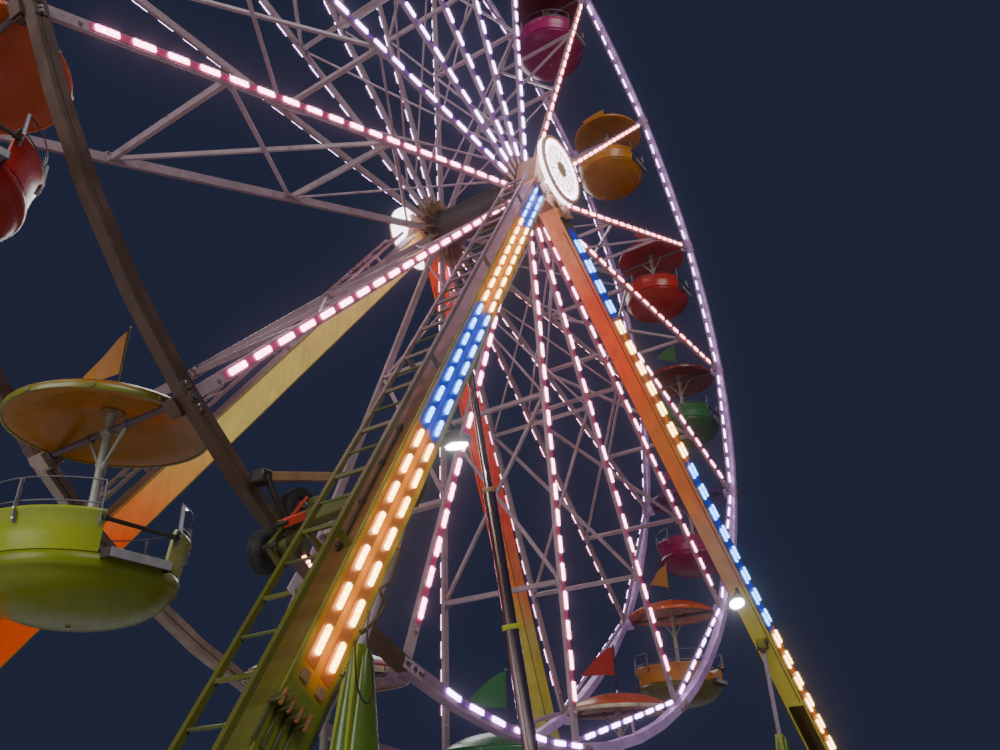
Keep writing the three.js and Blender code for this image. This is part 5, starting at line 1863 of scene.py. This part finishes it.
class FERRIS_OT_drive(bpy.types.Operator):
    """Drive arms, links and lamps on the near left leg"""

    bl_idname = "ferris.drive"
    bl_label = "Rim Drive"

    # Ends and corners of the arms, and the lamps' middles, as X and Z
    joint = (-4.574, 3.655)
    red_arms = ((-4.36, 3.941), (-4.529, 3.707), (-4.026, 3.988))
    olive_arms = ((-4.567, 3.641), (-4.717, 3.443), (-4.589, 3.331))
    upper_arm_end = (-4.035, 4.219)
    front_arm = ((-4.70, 3.604), (-4.274, 3.845))
    lamp_row = ((-4.465, 3.400), (-4.421, 3.371), (-4.393, 3.351))
    pivot = Vector((-4.455, ARM_Y, 3.695))
    boss = ((0.0335, -0.045), (0.06, -0.045), (0.068, -0.035), (0.068, 0.035), (0.06, 0.045), (0.0335, 0.045))

    def arm(self, bm, start, end, wide, index, y, deep=0.05):
        bar(bm, (start[0], y, start[1]), (end[0], y, end[1]), wide, deep, (0, 1, 0), index, deep * 0.12)

    def stem(self, bm):
        """The plate and stem on the leg, and the arms that carry the tyres."""
        out = leg_axes(NEAR, LEFT)[2]
        pivot = self.pivot
        ends = leg_line(NEAR, LEFT, DRIVE_ALONG - 0.32, DRIVE_ALONG + 0.18, 0, -LEG_HALF_DEEP - 0.02)
        bar(bm, *ends, 0.30, 0.04, out, 0, 0.006)
        root = leg_point(NEAR, LEFT, DRIVE_ALONG, 0, -LEG_HALF_DEEP - 0.03)
        bar(bm, root, pivot, 0.12, 0.12, (0, 0, 1), 0, 0.012)
        self.arm(bm, self.front_arm[0], (pivot.x, pivot.z), 0.07, 0, -1.26)
        for centre in tyre_centres().values():
            way = (centre - pivot).normalized()
            hold = Vector((centre.x, ARM_Y, centre.z))
            bar(bm, pivot - way * 0.03, hold, 0.07, 0.072, (0, 1, 0), 0, 0.008)
            lathe(bm, self.boss, 24, moved(hold) @ ACROSS, 0)
        rod(bm, pivot - Vector((0, 0.07, 0)), pivot + Vector((0, 0.06, 0)), 0.05, 18, 2, 0.006)

    def links(self, bm):
        """The two pairs of links, the long arm to the leg and the pins that join them."""
        top, corner, end = self.red_arms
        self.arm(bm, top, corner, 0.022, 1, -1.175, 0.018)
        self.arm(bm, corner, end, 0.035, 1, -1.175)
        self.arm(bm, *self.front_arm, 0.068, 1, -1.32)
        top, corner, end = self.olive_arms
        self.arm(bm, top, corner, 0.04, 0, -1.19)
        self.arm(bm, corner, end, 0.04, 0, -1.19)
        knuckle = (KNUCKLE.x, KNUCKLE.z)
        self.arm(bm, knuckle, self.upper_arm_end, 0.075, 3, -1.16)
        self.arm(bm, knuckle, self.joint, 0.045, 2, -1.20)
        block(bm, KNUCKLE - Vector((0.06, 0.07, 0.06)), KNUCKLE + Vector((0.05, 0.06, 0.05)), 2, 0.012)
        for x, z in (self.joint, self.red_arms[1], self.olive_arms[1], self.red_arms[2], self.upper_arm_end):
            rod(bm, (x, -1.28, z), (x, -1.14, z), 0.022, 12, 2, 0.003)
        for x, z in self.front_arm:
            rod(bm, (x, -1.352, z), (x, -1.23, z), 0.018, 12, 2, 0.003)

    def lamps(self, bm):
        """Three small lamps in a row on a bracket under the pivot."""
        ends = [Vector((x, -1.29, z)) for x, z in (self.lamp_row[0], self.lamp_row[2])]
        bar(bm, *ends, 0.045, 0.03, (0, 1, 0), 2, 0.004)
        hanger = (ends[0].lerp(ends[1], 0.5), self.pivot - Vector((0, 0.03, 0.03)))
        bar(bm, *hanger, 0.04, 0.02, (0, 1, 0), 0, 0.003)
        for x, z in self.lamp_row:
            rod(bm, (x, -1.33, z), (x, -1.295, z), 0.011, 12, 4, 0.003)

    def execute(self, context):
        bm = bmesh.new()
        self.stem(bm)
        self.links(bm)
        self.lamps(bm)
        made = ("dark_olive_paint", "red_paint", "dark_steel", "gold_paint", "lamp_red")
        make_piece("rim_drive", bm, made, "drive_bracket", "structure", ("drive_bracket",))
        return {"FINISHED"}


class FERRIS_OT_deck(bpy.types.Operator):
    """Edge trim, planks and braces of the boarding deck"""

    bl_idname = "ferris.deck"
    bl_label = "Boarding Deck"

    half, near, far = 1.75, -2.96, -0.86
    plank = 0.5

    def execute(self, context):
        bm = bmesh.new()
        half, near, far = self.half, self.near, self.far
        for i in range(7):
            left = -half + i * self.plank + 0.004
            right = left + self.plank - 0.008
            block(bm, (left, near + 0.03, DECK_TOP - 0.004), (right, far - 0.03, DECK_TOP + 0.006), 0, 0.002)
        low, high = DECK_TOP - 0.075, DECK_TOP + 0.012
        for y in (near, far):
            block(bm, (-half - 0.006, y - 0.012, low), (half + 0.006, y + 0.012, high), 1, 0.004)
        for side in (-1, 1):
            block(bm, (side * half - 0.012, near, low), (side * half + 0.012, far, high), 1, 0.004)
            for y in (near + 0.06, far - 0.06):
                x = side * (half - 0.06)
                bar(bm, (x, y, 0.12), (x - side * 0.42, y, DECK_TOP - 0.08), 0.04, 0.03, (0, 1, 0), 1, 0.003)
                block(bm, (x - 0.09, y - 0.06, 0.0), (x + 0.055, y + 0.06, 0.014), 1, 0.003)
        for i in range(6):
            x = -1.5 + i * 0.6
            low, high = DECK_TOP - 0.13, DECK_TOP - 0.058
            block(bm, (x - 0.03, near + 0.02, low), (x + 0.03, far - 0.02, high), 2, 0.003)
        make_piece("deck_trim", bm, ("deck", "lime_paint", "steel"), "boarding_deck")
        return {"FINISHED"}


def eased(points, count):
    """A smooth line through a few points, by cubic pieces with even steps."""
    line = []
    spans = len(points) - 1
    for i in range(count):
        reach = i * spans / (count - 1)
        span = min(int(reach), spans - 1)
        t = reach - span
        a, b, c, d = (points[min(max(span + shift, 0), spans)] for shift in (-1, 0, 1, 2))
        square, cube = 2 * a - 5 * b + 4 * c - d, 3 * b - a - 3 * c + d
        line.append(0.5 * (2 * b + (c - a) * t + square * t * t + cube * t ** 3))
    return line


class FERRIS_OT_hoses(bpy.types.Operator):
    """Slack hoses and cables along the near left leg"""

    bl_idname = "ferris.hoses"
    bl_label = "Hoses"

    loop_path = ((8.485, 0.185), (8.773, 0.213), (8.912, 0.168), (8.96, 0.255), (9.136, 0.225),
                 (9.273, 0.168))
    loop_top, loop_end = (9.372, 0.150), (9.12, 0.160)
    bight = ((0.018, -0.16), (0.05, -0.27), (0.12, -0.33), (0.178, -0.26), (0.15, -0.11), (0.10, 0.06))

    def cord(self, number, line, radius, finish, ends):
        """One slack line between two glands on the leg."""
        curve = bpy.data.curves.new(f"leg_hose_{number}", "CURVE")
        curve.dimensions = "3D"
        curve.bevel_depth = radius
        curve.bevel_resolution = 2
        curve.use_fill_caps = True
        spline = curve.splines.new("POLY")
        spline.points.add(len(line) - 1)
        for point, spot in zip(spline.points, line):
            point.co = (*spot, 1)
        curve.materials.append(finish_of(finish))
        hose = bpy.data.objects.new(f"leg_hose_{number}", curve)
        bpy.context.scene.collection.objects.link(hose)
        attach(hose, "structure")
        for spot, nearby in ((line[0], line[1]), (line[-1], line[-2])):
            way = (nearby - spot).normalized()
            rod(ends, spot - way * 0.012, spot + way * 0.02, radius * 1.5, 10, 0, 0.001)

    def execute(self, context):
        ends = bmesh.new()
        rise = LEG_HALF_DEEP + 0.016
        path = [leg_point(NEAR, LEFT, at, across, rise) for at, across in self.loop_path]
        self.cord(1, eased(path, 34), 0.012, "hose", ends)
        top, end = (leg_point(NEAR, LEFT, *spot, rise) for spot in (self.loop_top, self.loop_end))
        path = [top, *(top + Vector((right, 0, up)) for right, up in self.bight), end]
        self.cord(2, eased(path, 38), 0.0055, "cable", ends)
        path = [leg_point(NEAR, LEFT, at, 0.160, rise) for at in (9.60, 9.9, 10.2, 10.5)]
        self.cord(3, eased(path, 20), 0.010, "cable", ends)
        make_piece("hose_glands", ends, ("dark_steel",), "leg_near_left")
        return {"FINISHED"}


PIECE_OPERATORS = (
    FERRIS_OT_stage,
    FERRIS_OT_hoses,
    FERRIS_OT_frame_finishes,
    FERRIS_OT_wheel_lamps,
    FERRIS_OT_bay_fittings,
    FERRIS_OT_hub,
    FERRIS_OT_tubs,
    FERRIS_OT_canopies,
    FERRIS_OT_cabin_posts,
    FERRIS_OT_pennants,
    FERRIS_OT_leg_lamps,
    FERRIS_OT_leg_fittings,
    FERRIS_OT_ladders,
    FERRIS_OT_heads,
    FERRIS_OT_medallions,
    FERRIS_OT_floodlights,
    FERRIS_OT_base,
    FERRIS_OT_struts,
    FERRIS_OT_raising_cylinder,
    FERRIS_OT_tyres,
    FERRIS_OT_drive,
    FERRIS_OT_deck,
)


class FERRIS_PT_panel(bpy.types.Panel):
    """Lists the ferris wheel's settings and pieces"""

    bl_idname = "FERRIS_PT_panel"
    bl_label = "Ferris Wheel"
    bl_space_type = "VIEW_3D"
    bl_region_type = "UI"
    bl_category = "Ferris Wheel"

    def draw(self, context):
        values = context.scene.ferris_wheel
        for group in (values.lamps, values.paint, values.cabins, values.stage):
            box = self.layout.box()
            for name in group.__annotations__:
                box.prop(group, name)
        for operator in PIECE_OPERATORS:
            self.layout.operator(operator.bl_idname)


SETTING_CLASSES = (LampSettings, PaintSettings, CabinSettings, StageSettings, FerrisWheelSettings)


def register():
    for cls in (*SETTING_CLASSES, *PIECE_OPERATORS, FERRIS_PT_panel):
        bpy.utils.register_class(cls)
    bpy.types.Scene.ferris_wheel = PointerProperty(type=FerrisWheelSettings)


def unregister():
    del bpy.types.Scene.ferris_wheel
    for cls in reversed((*SETTING_CLASSES, *PIECE_OPERATORS, FERRIS_PT_panel)):
        bpy.utils.unregister_class(cls)


def main():
    register()
    for operator in PIECE_OPERATORS:
        family, name = operator.bl_idname.split(".")
        getattr(getattr(bpy.ops, family), name)()


if __name__ == "__main__":
    main()
